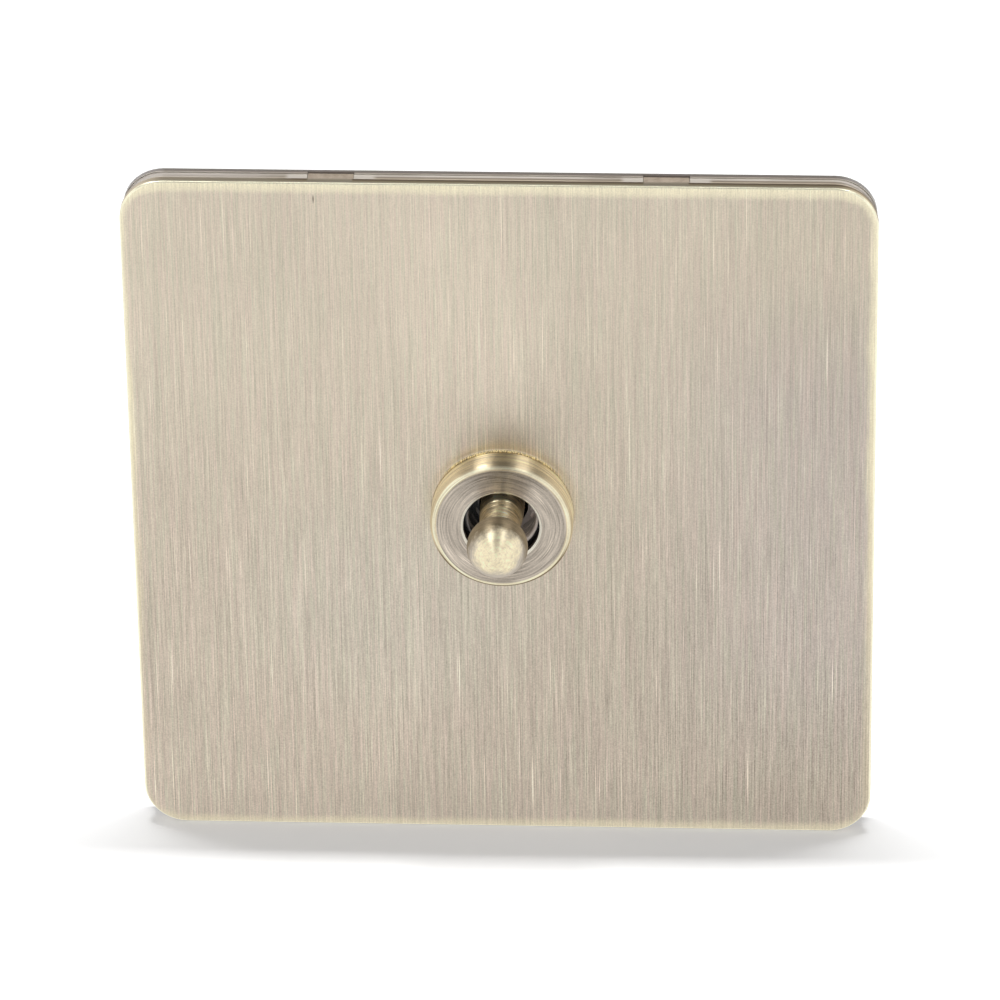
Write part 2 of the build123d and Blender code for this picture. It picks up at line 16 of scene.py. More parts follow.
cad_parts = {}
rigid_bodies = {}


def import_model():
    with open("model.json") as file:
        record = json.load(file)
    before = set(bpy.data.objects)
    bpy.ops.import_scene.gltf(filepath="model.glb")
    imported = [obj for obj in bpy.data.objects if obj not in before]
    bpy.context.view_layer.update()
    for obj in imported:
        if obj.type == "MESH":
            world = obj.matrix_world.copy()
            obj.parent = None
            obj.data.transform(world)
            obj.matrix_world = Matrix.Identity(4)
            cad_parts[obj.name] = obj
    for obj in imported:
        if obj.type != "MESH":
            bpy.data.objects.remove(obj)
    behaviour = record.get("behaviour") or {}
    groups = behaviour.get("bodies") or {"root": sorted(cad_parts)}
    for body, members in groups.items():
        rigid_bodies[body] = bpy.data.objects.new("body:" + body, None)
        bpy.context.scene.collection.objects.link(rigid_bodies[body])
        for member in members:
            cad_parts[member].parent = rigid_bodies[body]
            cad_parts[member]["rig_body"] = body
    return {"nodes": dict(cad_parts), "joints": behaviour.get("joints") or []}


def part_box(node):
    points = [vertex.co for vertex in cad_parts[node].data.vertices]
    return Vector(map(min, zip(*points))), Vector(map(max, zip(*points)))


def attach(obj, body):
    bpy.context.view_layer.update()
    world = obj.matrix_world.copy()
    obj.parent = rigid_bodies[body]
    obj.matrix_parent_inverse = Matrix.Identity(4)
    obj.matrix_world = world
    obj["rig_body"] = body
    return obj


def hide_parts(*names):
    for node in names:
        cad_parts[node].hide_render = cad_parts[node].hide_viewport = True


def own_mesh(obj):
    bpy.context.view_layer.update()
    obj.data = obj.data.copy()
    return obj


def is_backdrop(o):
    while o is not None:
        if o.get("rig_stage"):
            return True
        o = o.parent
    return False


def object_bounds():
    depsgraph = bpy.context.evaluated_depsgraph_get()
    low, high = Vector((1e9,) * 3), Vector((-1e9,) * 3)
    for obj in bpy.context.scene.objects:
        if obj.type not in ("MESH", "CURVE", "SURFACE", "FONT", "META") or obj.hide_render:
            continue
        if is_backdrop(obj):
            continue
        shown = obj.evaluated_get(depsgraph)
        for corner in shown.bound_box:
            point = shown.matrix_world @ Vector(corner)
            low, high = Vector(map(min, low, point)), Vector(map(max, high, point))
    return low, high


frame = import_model()
cad_low, cad_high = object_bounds()
nodes = frame["nodes"]
mm = 0.001
print("CAD nodes:", len(nodes), "box in mm:", [round((b - a) / mm, 2) for a, b in zip(cad_low, cad_high)])

# %% [markdown]
# ## Helpers for node trees
# Every finish here is a tree of nodes. Wiring one by hand takes three lines a node, so a small helper puts a
# node in the tree, sets its values and joins its sockets in one call. A colour is written as it would be read
# off a screen, from 0 to 255, and turned into the linear numbers that the renderer works with.


# %% Colours and wiring
def tone(red, green, blue):
    """A screen colour as linear red, green, blue and alpha."""

    def linear(value):
        share = value / 255
        return share / 12.92 if share <= 0.04045 else ((share + 0.055) / 1.055) ** 2.4

    return (linear(red), linear(green), linear(blue), 1.0)


class Wiring:
    """Puts nodes in one tree and joins them. A value may be a number, a tuple or another node's socket."""

    def __init__(self, tree):
        self.tree = tree

    def set(self, socket, value):
        if isinstance(value, bpy.types.NodeSocket):
            self.tree.links.new(value, socket)
        elif value is not None:
            socket.default_value = value

    def give(self, sockets, values):
        """Joins values to the tree's own outputs and says how large the tree is."""
        for key, value in values.items():
            self.set(sockets[key], value)
        print("tree", self.tree.name, "has", len(self.tree.nodes), "nodes")

    def node(self, kind, values=(), **settings):
        made = self.tree.nodes.new(kind)
        for key, value in settings.items():
            setattr(made, key, value)
        for key, value in dict(values).items():
            self.set(made.inputs[key], value)
        return made

    def math(self, operation, *values):
        made = self.node("ShaderNodeMath", operation=operation)
        for socket, value in zip(made.inputs, values):
            self.set(socket, value)
        return made.outputs[0]

    def plus(self, first, *others):
        for value in others:
            first = self.math("ADD", first, value)
        return first

    def minus(self, a, b):
        return self.math("SUBTRACT", a, b)

    def times(self, first, *others):
        for value in others:
            first = self.math("MULTIPLY", first, value)
        return first

    def abs(self, value):
        return self.math("ABSOLUTE", value)

    def total(self, *terms):
        """Sum of (share, value, middle): each value counts by its share, from its middle."""
        result = 0.0
        for share, value, middle in terms:
            result = self.plus(result, self.times(self.minus(value, middle), share))
        return result

    def ramp(self, value, low, high, start=0.0, end=1.0):
        """Smooth change from start to end while the value goes from low to high."""
        given = {"Value": value, "From Min": low, "From Max": high, "To Min": start, "To Max": end}
        return self.node("ShaderNodeMapRange", given, interpolation_type="SMOOTHSTEP").outputs["Result"]

    def slope(self, value, low, high, start=0.0, end=1.0):
        """A ramp over a length, with its two ends in millimetres."""
        return self.ramp(value, low * mm, high * mm, start, end)

    def mix(self, share, a, b, blend="MIX"):
        made = self.node("ShaderNodeMix", {0: share, 6: a, 7: b}, data_type="RGBA", blend_type=blend)
        return made.outputs[2]

    def layers(self, colour, *coats):
        """The colour under some coats, each a share and a colour of its own."""
        for share, coat in coats:
            colour = self.mix(share, colour, coat)
        return colour

    def shaded(self, colour, change):
        """The colour made lighter or darker by a share of itself."""
        return self.mix(1.0, colour, self.plus(change, 1.0), "MULTIPLY")

    def axes(self, vector):
        return self.node("ShaderNodeSeparateXYZ", {"Vector": vector}).outputs

    def xyz(self, **parts):
        return self.node("ShaderNodeCombineXYZ", parts).outputs[0]

    def length(self, vector):
        return self.node("ShaderNodeVectorMath", {0: vector}, operation="LENGTH").outputs["Value"]

    def mapped(self, vector, kind="POINT", **values):
        made = self.node("ShaderNodeMapping", {"Vector": vector, **values}, vector_type=kind)
        return made.outputs["Vector"]

    def noise(self, vector, scale, detail=2.0, roughness=0.5):
        given = {"Vector": vector, "Scale": scale, "Detail": detail, "Roughness": roughness}
        return self.node("ShaderNodeTexNoise", given, noise_dimensions="3D").outputs["Fac"]

    def streaked(self, vector, scale, shift, detail):
        """Noise with a scale along each axis, shifted so that no two are alike."""
        return self.noise(self.mapped(vector, Scale=scale, Location=(shift,) * 3), 1.0, detail)

    def patch(self, vector, middle, reach):
        """1 in the middle of an oval on the face, falling softly to 0 at its border. X and Z count, in mm."""
        x, z, wide, tall = (value * mm for value in (*middle, *reach))
        moved = self.mapped(vector, Scale=(1 / wide, 0, 1 / tall), Location=(-x / wide, 0, -z / tall))
        return self.ramp(self.length(moved), 1.0, 0.2)

    def effect(self, tree, vector, **values):
        """One of the shared groups, placed in this tree with its own values."""
        return self.node("ShaderNodeGroup", {"Vector": vector, **values}, node_tree=tree).outputs


class Finish(Wiring):
    """The wiring of a new material, with its shader and the piece's own coordinates."""

    def __init__(self, name, metallic, roughness, **constants):
        self.material = bpy.data.materials.new(name)
        self.material.use_nodes = True
        super().__init__(self.material.node_tree)
        self.shader = self.tree.nodes["Principled BSDF"]
        for key, value in {"Metallic": metallic, "Roughness": roughness, **constants}.items():
            self.shader.inputs[key.replace("_", " ")].default_value = value
        self.place = self.node("ShaderNodeTexCoord").outputs["Object"]

    def dress(self, colour, roughness, height, strength, depth, uv_map=None):
        """Colour, roughness and a fine relief in mm. A UV map tells which way the metal was worked."""
        bump = self.node("ShaderNodeBump", {"Strength": strength, "Distance": depth * mm, "Height": height})
        values = {"Base Color": colour, "Roughness": roughness, "Normal": bump.outputs["Normal"]}
        if uv_map:
            way = self.node("ShaderNodeTangent", direction_type="UV_MAP", uv_map=uv_map)
            values["Tangent"] = way.outputs[0]
        for key, value in values.items():
            self.set(self.shader.inputs[key], value)
        self.tell("finish")

    def tell(self, what):
        print(what, self.material.name, "has", len(self.tree.nodes), "nodes")


print("plate tone as linear:", [round(v, 3) for v in tone(205, 192, 173)])

# %% [markdown]
# ## Shared effects
# Brushing leaves hairlines: thin light and dark scratches along one direction. A noise stretched along that
# direction gives them. Real brushing mixes scratches of many lengths, slow wide streaks, a few strong lines
# and a fine grain, so the group adds all of these into one shade, which a finish uses to lighten and darken
# its colour. Turning leaves the same kind of lines round an axis, so there the noise runs over the distance
# from the axis. A third group measures how far in from the edge of a square plate a point lies.

# %% Trees with named sockets
FLOAT, VECTOR, GEOMETRY = "NodeSocketFloat", "NodeSocketVector", "NodeSocketGeometry"


def tree_named(name, kind, inputs, outputs):
    """The wiring, inputs and outputs of a new tree. An input is (name, socket, value)."""
    tree = bpy.data.node_groups.new(name, kind)
    for label, socket_kind in outputs:
        tree.interface.new_socket(label, in_out="OUTPUT", socket_type=socket_kind)
    for label, socket_kind, value in inputs:
        socket = tree.interface.new_socket(label, in_out="INPUT", socket_type=socket_kind)
        if value is not None:
            socket.default_value = value
    wires = Wiring(tree)
    return wires, wires.node("NodeGroupInput").outputs, wires.node("NodeGroupOutput").inputs


def group_named(name, outputs, **numbers):
    """A shader group that takes a vector and some numbers and gives numbers."""
    inputs = [("Vector", VECTOR, None)] + [(label, FLOAT, value) for label, value in numbers.items()]
    return tree_named(name, "ShaderNodeTree", inputs, [(label, FLOAT) for label in outputs])


print("sockets:", FLOAT, VECTOR, GEOMETRY)

# %% Hairlines of a brushed sheet
w, given, out = group_named("brushed_hairlines", ["Fine", "Shade"], Across=11500.0, Along=190.0, Grain=5200.0)
hairlines = w.tree


def brushed_noise(share_across, share_along, shift, detail=1.0):
    """Noise stretched along Z: a share of the line count across X and Y, and of the count along Z."""
    wide = w.times(given["Across"], share_across)
    tall = w.times(given["Along"], share_along)
    return w.streaked(given["Vector"], w.xyz(X=wide, Y=wide, Z=tall), shift, detail)


long_lines = brushed_noise(1.0, 0.52, 0.0)
short_lines = brushed_noise(0.9, 3.0, 5.0)
far_lines = brushed_noise(0.42, 0.16, 47.0)
streaks = brushed_noise(0.12, 0.15, 11.0, 2.0)
light_lines = w.ramp(brushed_noise(0.8, 0.36, 23.0), 0.64, 0.84)
dark_lines = w.ramp(brushed_noise(0.8, 0.9, 37.0), 0.68, 0.86)
grain = w.noise(given["Vector"], given["Grain"], 1.0)
shade = w.total(
    (0.58, long_lines, 0.5),
    (0.36, short_lines, 0.5),
    (0.36, far_lines, 0.5),
    (0.12, streaks, 0.5),
    (0.42, grain, 0.5),
    (0.7, light_lines, 0.02),
    (-0.16, dark_lines, 0.01),
)
w.give(out, {"Fine": long_lines, "Shade": shade})

# %% Turning marks round an axis
w, given, out = group_named("turning_marks", ["Fine", "Shade", "Radius", "Axial"], Lines=6500.0, Grain=5200.0)
turning = w.tree
parts = w.axes(given["Vector"])
radius = w.math("SQRT", w.plus(w.math("POWER", parts["X"], 2.0), w.math("POWER", parts["Z"], 2.0)))
across = w.times(w.plus(radius, w.times(parts["Y"], 0.6)), given["Lines"])
turn = [w.math("DIVIDE", parts[axis], w.math("MAXIMUM", radius, 1e-5)) for axis in ("X", "Z")]


def lathe_noise(share_across, arcs):
    """Noise over the distance across the rings, broken into a number of arcs round the axis."""
    spun = [w.times(t, arcs) for t in turn]
    return w.noise(w.xyz(X=w.times(across, share_across), Y=spun[0], Z=spun[1]), 1.0, 1.0)


fine = lathe_noise(1.0, 1.8)
broad = lathe_noise(0.3, 0.8)
bright = w.ramp(lathe_noise(0.9, 2.0), 0.62, 0.8)
grain = w.noise(given["Vector"], given["Grain"], 1.0)
shade = w.total((0.75, fine, 0.5), (0.15, broad, 0.5), (0.35, bright, 0.04), (0.22, grain, 0.5))
w.give(out, {"Fine": fine, "Shade": shade, "Radius": radius, "Axial": parts["Y"]})

# %% Distance in from the edge of a square with rounded corners
w, given, out = group_named("rounded_square_edge", ["Inset", "Side", "Height"], Half=43 * mm, Corner=5 * mm)
square_edge = w.tree
parts = w.axes(given["Vector"])
core = w.minus(given["Half"], given["Corner"])
past = [w.minus(w.abs(parts[axis]), core) for axis in ("X", "Z")]
outside = [w.math("POWER", w.math("MAXIMUM", p, 0.0), 2.0) for p in past]
reach = w.plus(w.math("SQRT", w.plus(*outside)), w.math("MINIMUM", w.math("MAXIMUM", *past), 0.0))
side, height = (w.math("DIVIDE", parts[axis], given["Half"]) for axis in ("X", "Z"))
w.give(out, {"Inset": w.minus(given["Corner"], reach), "Side": side, "Height": height})

# %% [markdown]
# ## Shapes
# Two helpers make the fine pieces. One sweeps a cross-section round the outline of a square with rounded
# corners, for the plate. The other turns a profile about an axis, as a lathe does, for the collar and lever.
# Both make closed meshes whose faces point outwards. Each also lays out a UV map whose first direction runs
# along the plate or round the axis: brushed and turned metal spreads a highlight across its scratches, and
# the shader takes that direction from the map.


# %% Mesh helpers
def mesh_of(name, mesh_data):
    """The built faces as a mesh, with doubles merged and faces outwards."""
    bmesh.ops.remove_doubles(mesh_data, verts=mesh_data.verts, dist=1e-7)
    bmesh.ops.recalc_face_normals(mesh_data, faces=mesh_data.faces)
    mesh = bpy.data.meshes.new(name)
    mesh_data.to_mesh(mesh)
    mesh_data.free()
    return mesh


def into_scene(name, data):
    made = bpy.data.objects.new(name, data)
    bpy.context.scene.collection.objects.link(made)
    return made


def soften(mesh, sharp_degrees=35):
    """Soft shading up to an angle between faces."""
    mesh.shade_smooth()
    mesh.set_sharp_from_angle(angle=math.radians(sharp_degrees))


def piece_from(name, mesh_data, finish, sharp_degrees=35):
    """A finished piece at the origin."""
    mesh = mesh_of(name, mesh_data)
    soften(mesh, sharp_degrees)
    mesh.materials.append(finish.material)
    return into_scene(name, mesh)


def stand_in(made, node):
    """The piece takes the CAD node's place and body."""
    body = nodes[node]["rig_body"]
    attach(made, body)
    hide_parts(node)
    print(made.name, "stands for", node, "on", body, "with", len(made.data.polygons), "faces")
    return made


def loops_joined(mesh_data, loops, closed=False):
    """Faces between rings of equally many points, the first joined to the last if closed."""
    rings = [[mesh_data.verts.new(point) for point in loop] for loop in loops]
    pairs = zip(rings, rings[1:] + rings[:1]) if closed else zip(rings, rings[1:])
    for a, b in pairs:
        for i in range(len(a)):
            j = (i + 1) % len(a)
            mesh_data.faces.new((a[i], a[j], b[j], b[i]))


def square_outline(half, corner, straight=12, round_steps=16):
    """Points round a square with rounded corners, counted so that every outline has equally many."""
    core = half - corner
    bends = [math.pi / 2 * step / round_steps for step in range(round_steps + 1)]
    quarter = [(core + corner * math.cos(a), core + corner * math.sin(a)) for a in bends]
    quarter += [(core - 2 * core * step / straight, half) for step in range(1, straight)]
    points = []
    for _ in range(4):
        points += quarter
        quarter = [(-z, x) for x, z in quarter]
    return points


def turned(profile, segments, origin=(0, 0, 0), tilt=0.0, closed=False):
    """A lathed mesh: profile points are (distance forward along the axis, radius)."""
    mesh_data = bmesh.new()
    forward = Vector((0, -math.cos(tilt), math.sin(tilt)))
    side = Vector((1, 0, 0))
    up = forward.cross(side)
    angles = [2 * math.pi * i / segments for i in range(segments)]
    loops = []
    for along_axis, radius in profile:
        centre = Vector(origin) + forward * along_axis
        loops.append([centre + (side * math.cos(a) + up * math.sin(a)) * radius for a in angles])
    loops_joined(mesh_data, loops, closed)
    around = mesh_data.loops.layers.uv.new("around")
    for count, face in enumerate(mesh_data.faces):
        row, column = divmod(count, segments)
        for corner, (u, v) in zip(face.loops, ((0, 0), (1, 0), (1, 1), (0, 1))):
            corner[around].uv = ((column + u) / segments, (row + v) / len(profile))
    return mesh_data


def arc_points(centre, radius, start, end, steps):
    """Points on an arc in the profile's plane, with the angles in degrees from the axis."""
    angles = [math.radians(start + (end - start) * i / steps) for i in range(steps + 1)]
    return [(centre[0] + radius * math.cos(a), centre[1] + radius * math.sin(a)) for a in angles]


print("outline points:", len(square_outline(43 * mm, 5 * mm)))

# %% [markdown]
# ## The plate's finish
# Antique brass is plated, darkened and brushed through again. The body is a greyish beige with upright
# hairlines. Its tone isn't even: it is lighter at the left and cooler at the right, with soft patches, and
# the hairlines stand out more towards the foot. The body is painted darker towards the foot, as painted
# shade, and its last few millimetres lighter again, as painted light against the shadow they mirror. The
# edges, where the brush bites more, are rubbed back to pale brass: the distance from the edge gives that
# band, widest at the top and fading down the sides, and the hairlines make its border ragged. At the foot the
# band is painted a little lighter, partly as painted light. A thin line on the rounded edge is painted almost
# white: rubbed brass and a painted highlight. The rim of the hole is rubbed in the same way, in short golden
# dashes, and there is one small nick near the upper edge. The edge is painted darker towards its back, as
# painted shade of the narrow gap to the frame, but less at the left and not at the clips, which fill that
# gap. A thin line under the foot is painted dark, as a painted reflection of the floor's shadow.

# %% Brushed antique brass
plate_low, plate_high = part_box("front_plate")
plate_half, plate_front, plate_back = plate_high.x, plate_low.y, plate_high.y
plate_finish = w = Finish("brushed_aged_brass", 1.0, 0.38, Anisotropic=0.5)
place = w.place
lines = w.effect(hairlines, place)
edge = w.effect(square_edge, place)
fine, inset, side, height = lines["Fine"], edge["Inset"], edge["Side"], edge["Height"]
cool = w.times(w.ramp(side, 0.25, 0.85), w.ramp(height, 0.85, 0.3), w.ramp(height, -0.95, -0.35))
grey = w.patch(place, (-13, -12), (24, 22))
tint = w.streaked(place, (7000, 7000, 150), 3, 1.0)
body = w.layers(
    tone(220, 208, 189),
    # painted shade: the body is darker towards the foot
    (w.ramp(height, 0.9, -0.9), tone(196, 183, 167)),
    (w.times(cool, 0.9), tone(201, 190, 181)),
    (w.times(grey, 0.6), tone(206, 198, 183)),
    (w.ramp(tint, 0.42, 0.75, 0.0, 0.6), tone(206, 202, 181)),
    (w.ramp(tint, 0.55, 0.25, 0.0, 0.5), tone(217, 199, 185)),
)
slow = w.total(
    (-0.065, side, -0.15),
    (0.16, w.streaked(place, (40, 40, 22), 1, 2.0), 0.5),
    (0.05, w.patch(place, (-5, 25), (16, 24)), 0.0),
    (-0.04, w.patch(place, (-32, 36), (20, 16)), 0.0),
    # painted light: the last few millimetres of the foot are lighter, against the shadow they mirror
    (0.06, w.ramp(height, -0.82, -0.98), 0.0),
    (-0.07, w.patch(place, (34, -34), (22, 24)), 0.0),
)
contrast = w.ramp(height, 0.9, -0.9, 0.68, 1.26)
body = w.shaded(body, w.plus(slow, w.times(lines["Shade"], contrast)))
w.tell("body of")

# %% Rubbed edges of the plate
wander = w.streaked(place, (160, 160, 160), 7, 2.0)
ragged = w.plus(inset, w.total((1.3 * mm, fine, 0.5), (0.8 * mm, wander, 0.5)))
width = w.plus(
    w.ramp(side, -1.0, 1.0, 0.55 * mm, 0.8 * mm),
    w.ramp(height, 0.94, 0.98, 0.0, 0.55 * mm),
    w.ramp(height, -0.92, -0.97, 0.0, 0.25 * mm),
)
rubbed = w.ramp(w.math("DIVIDE", ragged, width), 1.7, 0.3, 0.0, 0.95)
lower_edge = w.ramp(height, -0.94, -0.98, 0.0, 0.8)
rubbed = w.times(rubbed, w.math("MAXIMUM", w.ramp(height, -0.75, 0.1, 0.35, 1.0), lower_edge))
pale = w.layers(
    tone(232, 219, 184),
    (w.ramp(height, -0.9, 0.9), tone(246, 237, 207)),
    # partly painted light: the pale band at the foot is lighter, against the shadow it mirrors
    (w.ramp(height, -0.93, -0.97), tone(236, 225, 196)),
)
hole_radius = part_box("collar_ring")[1].x + 0.03 * mm
from_hole = w.minus(w.effect(turning, place)["Radius"], hole_radius)
upper = w.ramp(height, 0.09, 0.17)
brown = w.times(w.slope(from_hole, 0.34, 0.24, 0.0, 0.8), upper)
dashes = w.times(w.slope(from_hole, 0.40, 0.20), w.ramp(fine, 0.46, 0.58))
nick = w.patch(place, (-20.88, 40.95), (0.11, 0.75))
skin = w.layers(
    body,
    (rubbed, w.shaded(pale, w.times(lines["Shade"], 0.6))),
    (brown, tone(150, 128, 90)),
    (w.times(dashes, upper), tone(250, 230, 172)),
    (w.times(nick, 0.9), tone(84, 74, 66)),
    # painted highlight: a near-white line on the rounded edge, over rubbed brass
    (w.slope(inset, 0.30, 0.14), w.shaded(tone(255, 248, 220), w.times(lines["Shade"], 0.5))),
)
w.tell("face of")

# %% Thickness of the plate
clip_x = 19 * mm


def off_clips(w, across):
    """Distance along the edge from the middle of the nearest clip."""
    return w.abs(w.minus(w.abs(across), clip_x))


parts = w.axes(place)
depth = w.minus(parts["Y"], plate_front)
# painted shade: the back of the edge is dark where the narrow gap to the frame lies, less at the left, and
# not beside the clips, which fill the gap
edge_painted_gap_shade = w.layers(
    tone(198, 181, 150),
    (w.slope(depth, 0.5, 0.9), tone(128, 111, 87)),
    (w.slope(parts["X"], -21, -28, 0.0, 0.8), tone(200, 186, 164)),
    (w.slope(off_clips(w, parts["X"]), 2.7, 2.4), tone(196, 182, 160)),
)
# painted reflection: a thin dark line under the foot, for the floor's shadow mirrored in the rounded edge
under = w.times(w.slope(inset, 0.10, 0.04), w.ramp(height, -0.985, -0.995))
skin = w.layers(skin, (w.slope(depth, 0.22, 0.4), edge_painted_gap_shade), (under, tone(150, 134, 110)))
w.dress(skin, w.ramp(fine, 0.25, 0.75, 0.42, 0.34), fine, 0.10, 0.02, "along")

# %% [markdown]
# ## The plate
# A sheet of brass 1.1 mm thick with softened front edges and a round hole, whose punched rim stands up in a
# burr of a tenth of a millimetre at the top. The cross-section goes from the back, round the edge to the
# front, over the face to the hole and through it, so one sweep makes the whole.

# %% Plate piece
plate_corner = 5 * mm
edge_round = 0.3 * mm
burr = 0.1 * mm
burr_steps = ((0.6, 0), (0.32, 0), (0.24, 0.35), (0.14, 0.9), (0.08, 1), (0.02, 0.9), (0, 0.6))


def plate_loop(inset, y):
    return [Vector((x, y, z)) for x, z in square_outline(plate_half - inset, plate_corner - inset)]


def hole_loop(radius, y):
    """A ring of points, each on the line from the middle to its partner on the plate's outline."""
    return [Vector((p.x, 0, p.z)).normalized() * radius + Vector((0, y, 0)) for p in plate_loop(0, y)]


loops = [plate_loop(0, plate_back)]
for outward, forward in arc_points((0, 0), edge_round, 0, 90, 6):
    loops.append(plate_loop(edge_round - outward, plate_front + edge_round - forward))
loops += [plate_loop(inset, plate_front) for inset in (0.8 * mm, 2.5 * mm)]
for from_rim, rise in burr_steps:
    ring = hole_loop(hole_radius + from_rim * mm, plate_front)
    loops.append([p - Vector((0, rise * burr * max(0, p.z / hole_radius) ** 2, 0)) for p in ring])
loops += [hole_loop(hole_radius, plate_back)]
plate_mesh = bmesh.new()
loops_joined(plate_mesh, loops, closed=True)
along = plate_mesh.loops.layers.uv.new("along")
for face in plate_mesh.faces:
    for corner in face.loops:
        corner[along].uv = (corner.vert.co.x / plate_half, corner.vert.co.z / plate_half)
stand_in(piece_from("brass_plate", plate_mesh, plate_finish), "front_plate")

# %% [markdown]
# ## The collar and its turned finish
# The collar is a ring nut turned on a lathe: fine rings over its face, a rounded outer edge rubbed pale, a
# side painted paler than the face as painted light, and a little chamfer round the hole painted almost white
# as a painted highlight. The face is painted darker at the top, as painted shade for the ball and lever it
# mirrors, and a little at the bottom, as painted shade under the ball. Where the rounded edge meets the face
# it has a painted highlight line, and on the lower rim painted shade under that line. The wall inside the
# hole is painted dark, as painted shade. The turning marks run over the distance from the axis.

# %% Turned brass of the collar
collar_finish = w = Finish("turned_aged_brass", 1.0, 0.42, Anisotropic=0.95, Anisotropic_Rotation=0.25)
marks = w.effect(turning, w.place)
low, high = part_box("collar_ring")
collar_radius, collar_front, collar_back = high.x, low.y, high.y
collar_hole = 4.43 * mm
ahead = w.minus(marks["Axial"], collar_front)
to_rim = w.minus(collar_radius, marks["Radius"])
to_hole = w.minus(marks["Radius"], collar_hole)
height = w.math("DIVIDE", w.axes(w.place)["Z"], collar_radius)
# painted light: the side is a paler brass than the face, making up for lamp light it lacks
face = w.mix(w.slope(ahead, 0.5, 0.9), tone(197, 186, 172), tone(244, 227, 190))
# painted shade: the face darker at the top, for the ball and lever it mirrors, and a little at the bottom,
# under the ball
painted_top_shade = w.times(w.ramp(height, 0.52, 0.86), w.slope(ahead, 0.3, 0.1))
painted_shade_under_ball = w.ramp(height, -0.4, -0.8)
face = w.shaded(face, w.total((1.6, marks["Shade"], 0.0), (-0.26, painted_top_shade, 0.0), (-0.07, painted_shade_under_ball, 0.0)))
# painted highlight: a bright line where the rounded edge meets the face; on the lower rim painted shade under
# it
painted_highlight_line = w.times(w.slope(ahead, 0.01, 0.04), w.slope(ahead, 0.3, 0.16))
worn_and_highlit = w.mix(painted_highlight_line, tone(224, 207, 172), tone(255, 245, 214))
painted_lower_rim = w.mix(w.slope(ahead, 0.09, 0.15), tone(255, 244, 212), tone(138, 120, 92))
worn_and_highlit = w.mix(w.ramp(height, -0.2, -0.6), worn_and_highlit, painted_lower_rim)
# painted shade: the wall inside the hole is dark
wall = w.times(w.slope(to_hole, 0.06, 0.02), w.slope(ahead, 0.22, 0.3))
face = w.layers(
    face,
    (w.slope(w.plus(ahead, to_rim), 0.78, 0.66), w.shaded(worn_and_highlit, marks["Shade"])),
    # painted highlight: the little chamfer round the hole almost white
    (w.slope(w.plus(ahead, to_hole), 0.27, 0.21, 0.0, 0.9), tone(254, 249, 232)),
    (wall, tone(74, 64, 54)),
)
w.dress(face, w.ramp(marks["Fine"], 0.25, 0.75, 0.46, 0.38), marks["Fine"], 0.12, 0.02, "around")

# %% Collar piece
bore, face_inner = 6.05 * mm, 6.2 * mm
lip, chamfer = 1.0 * mm, 0.2 * mm
collar_round, back_break = 0.8 * mm, 0.1 * mm
depth = collar_back - collar_front
profile = [(-depth, bore), (-depth, collar_radius - back_break), (-depth + back_break, collar_radius)]
profile += arc_points((-collar_round, collar_radius - collar_round), collar_round, 90, 0, 10)
profile += [(0, face_inner), (0, collar_hole + chamfer), (-chamfer, collar_hole)]
profile += [(-lip, collar_hole), (-lip, bore)]
collar_mesh = turned(profile, 192, (0, collar_front, 0), closed=True)
stand_in(piece_from("turned_collar", collar_mesh, collar_finish), "collar_ring")

# %% [markdown]
# ## The lever
# The lever is one turned piece: a ball that thumbs have rubbed pale, drawn out a little at its back, a
# groove, and a neck, painted darker on its flanks as painted shade, that widens towards the pivot. Round the
# ball's pale front lies a greyer ring, wider at the bottom. The profile repeats the CAD one with finer steps
# and fine rings cut round the neck. A Mapping node turns the coordinates back to the lever's own axis, so
# that the turning marks run round it although the lever stands tipped. Fine scratches in three directions
# cover the ball.

# %% Lever finish
joint = next(j for j in frame["joints"] if j["name"] == "lever_tip")
pivot = Vector(joint["pos_m"])
lever_tilt = math.radians(joint["range_deg"][1] / 2)
lever_finish = w = Finish("polished_aged_brass", 1.0, 0.4, Anisotropic=0.75, Anisotropic_Rotation=0.25)
place = w.mapped(w.place, "TEXTURE", Location=pivot, Rotation=(-lever_tilt, 0, 0))
marks = w.effect(turning, place, Lines=4200.0)
parts = w.axes(place)
reach = w.times(marks["Axial"], -1.0)
smudge = w.noise(place, 650.0, 4.0, 0.6)
worn_at = w.plus(reach, w.total((2.4 * mm, smudge, 0.5), (0.18, parts["Z"], 0.0)))
# a greyer ring round the pale front, wider towards the bottom
grey_rim_at = w.plus(reach, w.total((2.0 * mm, smudge, 0.5), (-0.22, parts["Z"], 0.0)))
thumbed = w.slope(worn_at, 21.0, 22.4)
# painted shade: the neck darker on its flanks
neck = w.mix(w.slope(w.abs(parts["X"]), 0.6, 1.9), tone(248, 232, 196), tone(172, 152, 116))
skin = w.layers(
    tone(150, 136, 112),
    (w.slope(grey_rim_at, 19.9, 21.5), tone(208, 199, 186)),
    (thumbed, tone(252, 239, 206)),
    (w.slope(reach, 16.6, 16.0), neck),
)
ringed = w.times(marks["Shade"], w.slope(reach, 16.0, 22.2, 2.6, 0.55))
rub = 0.0
for slant in (0.5, 1.4, 2.4):
    scratch = w.mapped(place, "TEXTURE", Rotation=(0, slant, 0), Scale=(0.2 * mm, 0.8 * mm, 1.1 * mm))
    rub = w.plus(rub, w.times(w.noise(scratch, 1.0, 2.0), 1 / 3))
mottle = w.times(thumbed, w.total((1.0, rub, 0.5), (0.3, smudge, 0.5)))
roughness = w.plus(w.slope(reach, 16.4, 17.4, 0.4, 0.52), w.total((0.25, rub, 0.5)))
height = w.mix(thumbed, marks["Fine"], rub)
w.dress(w.shaded(skin, w.plus(ringed, mottle)), roughness, height, 0.35, 0.03, "around")

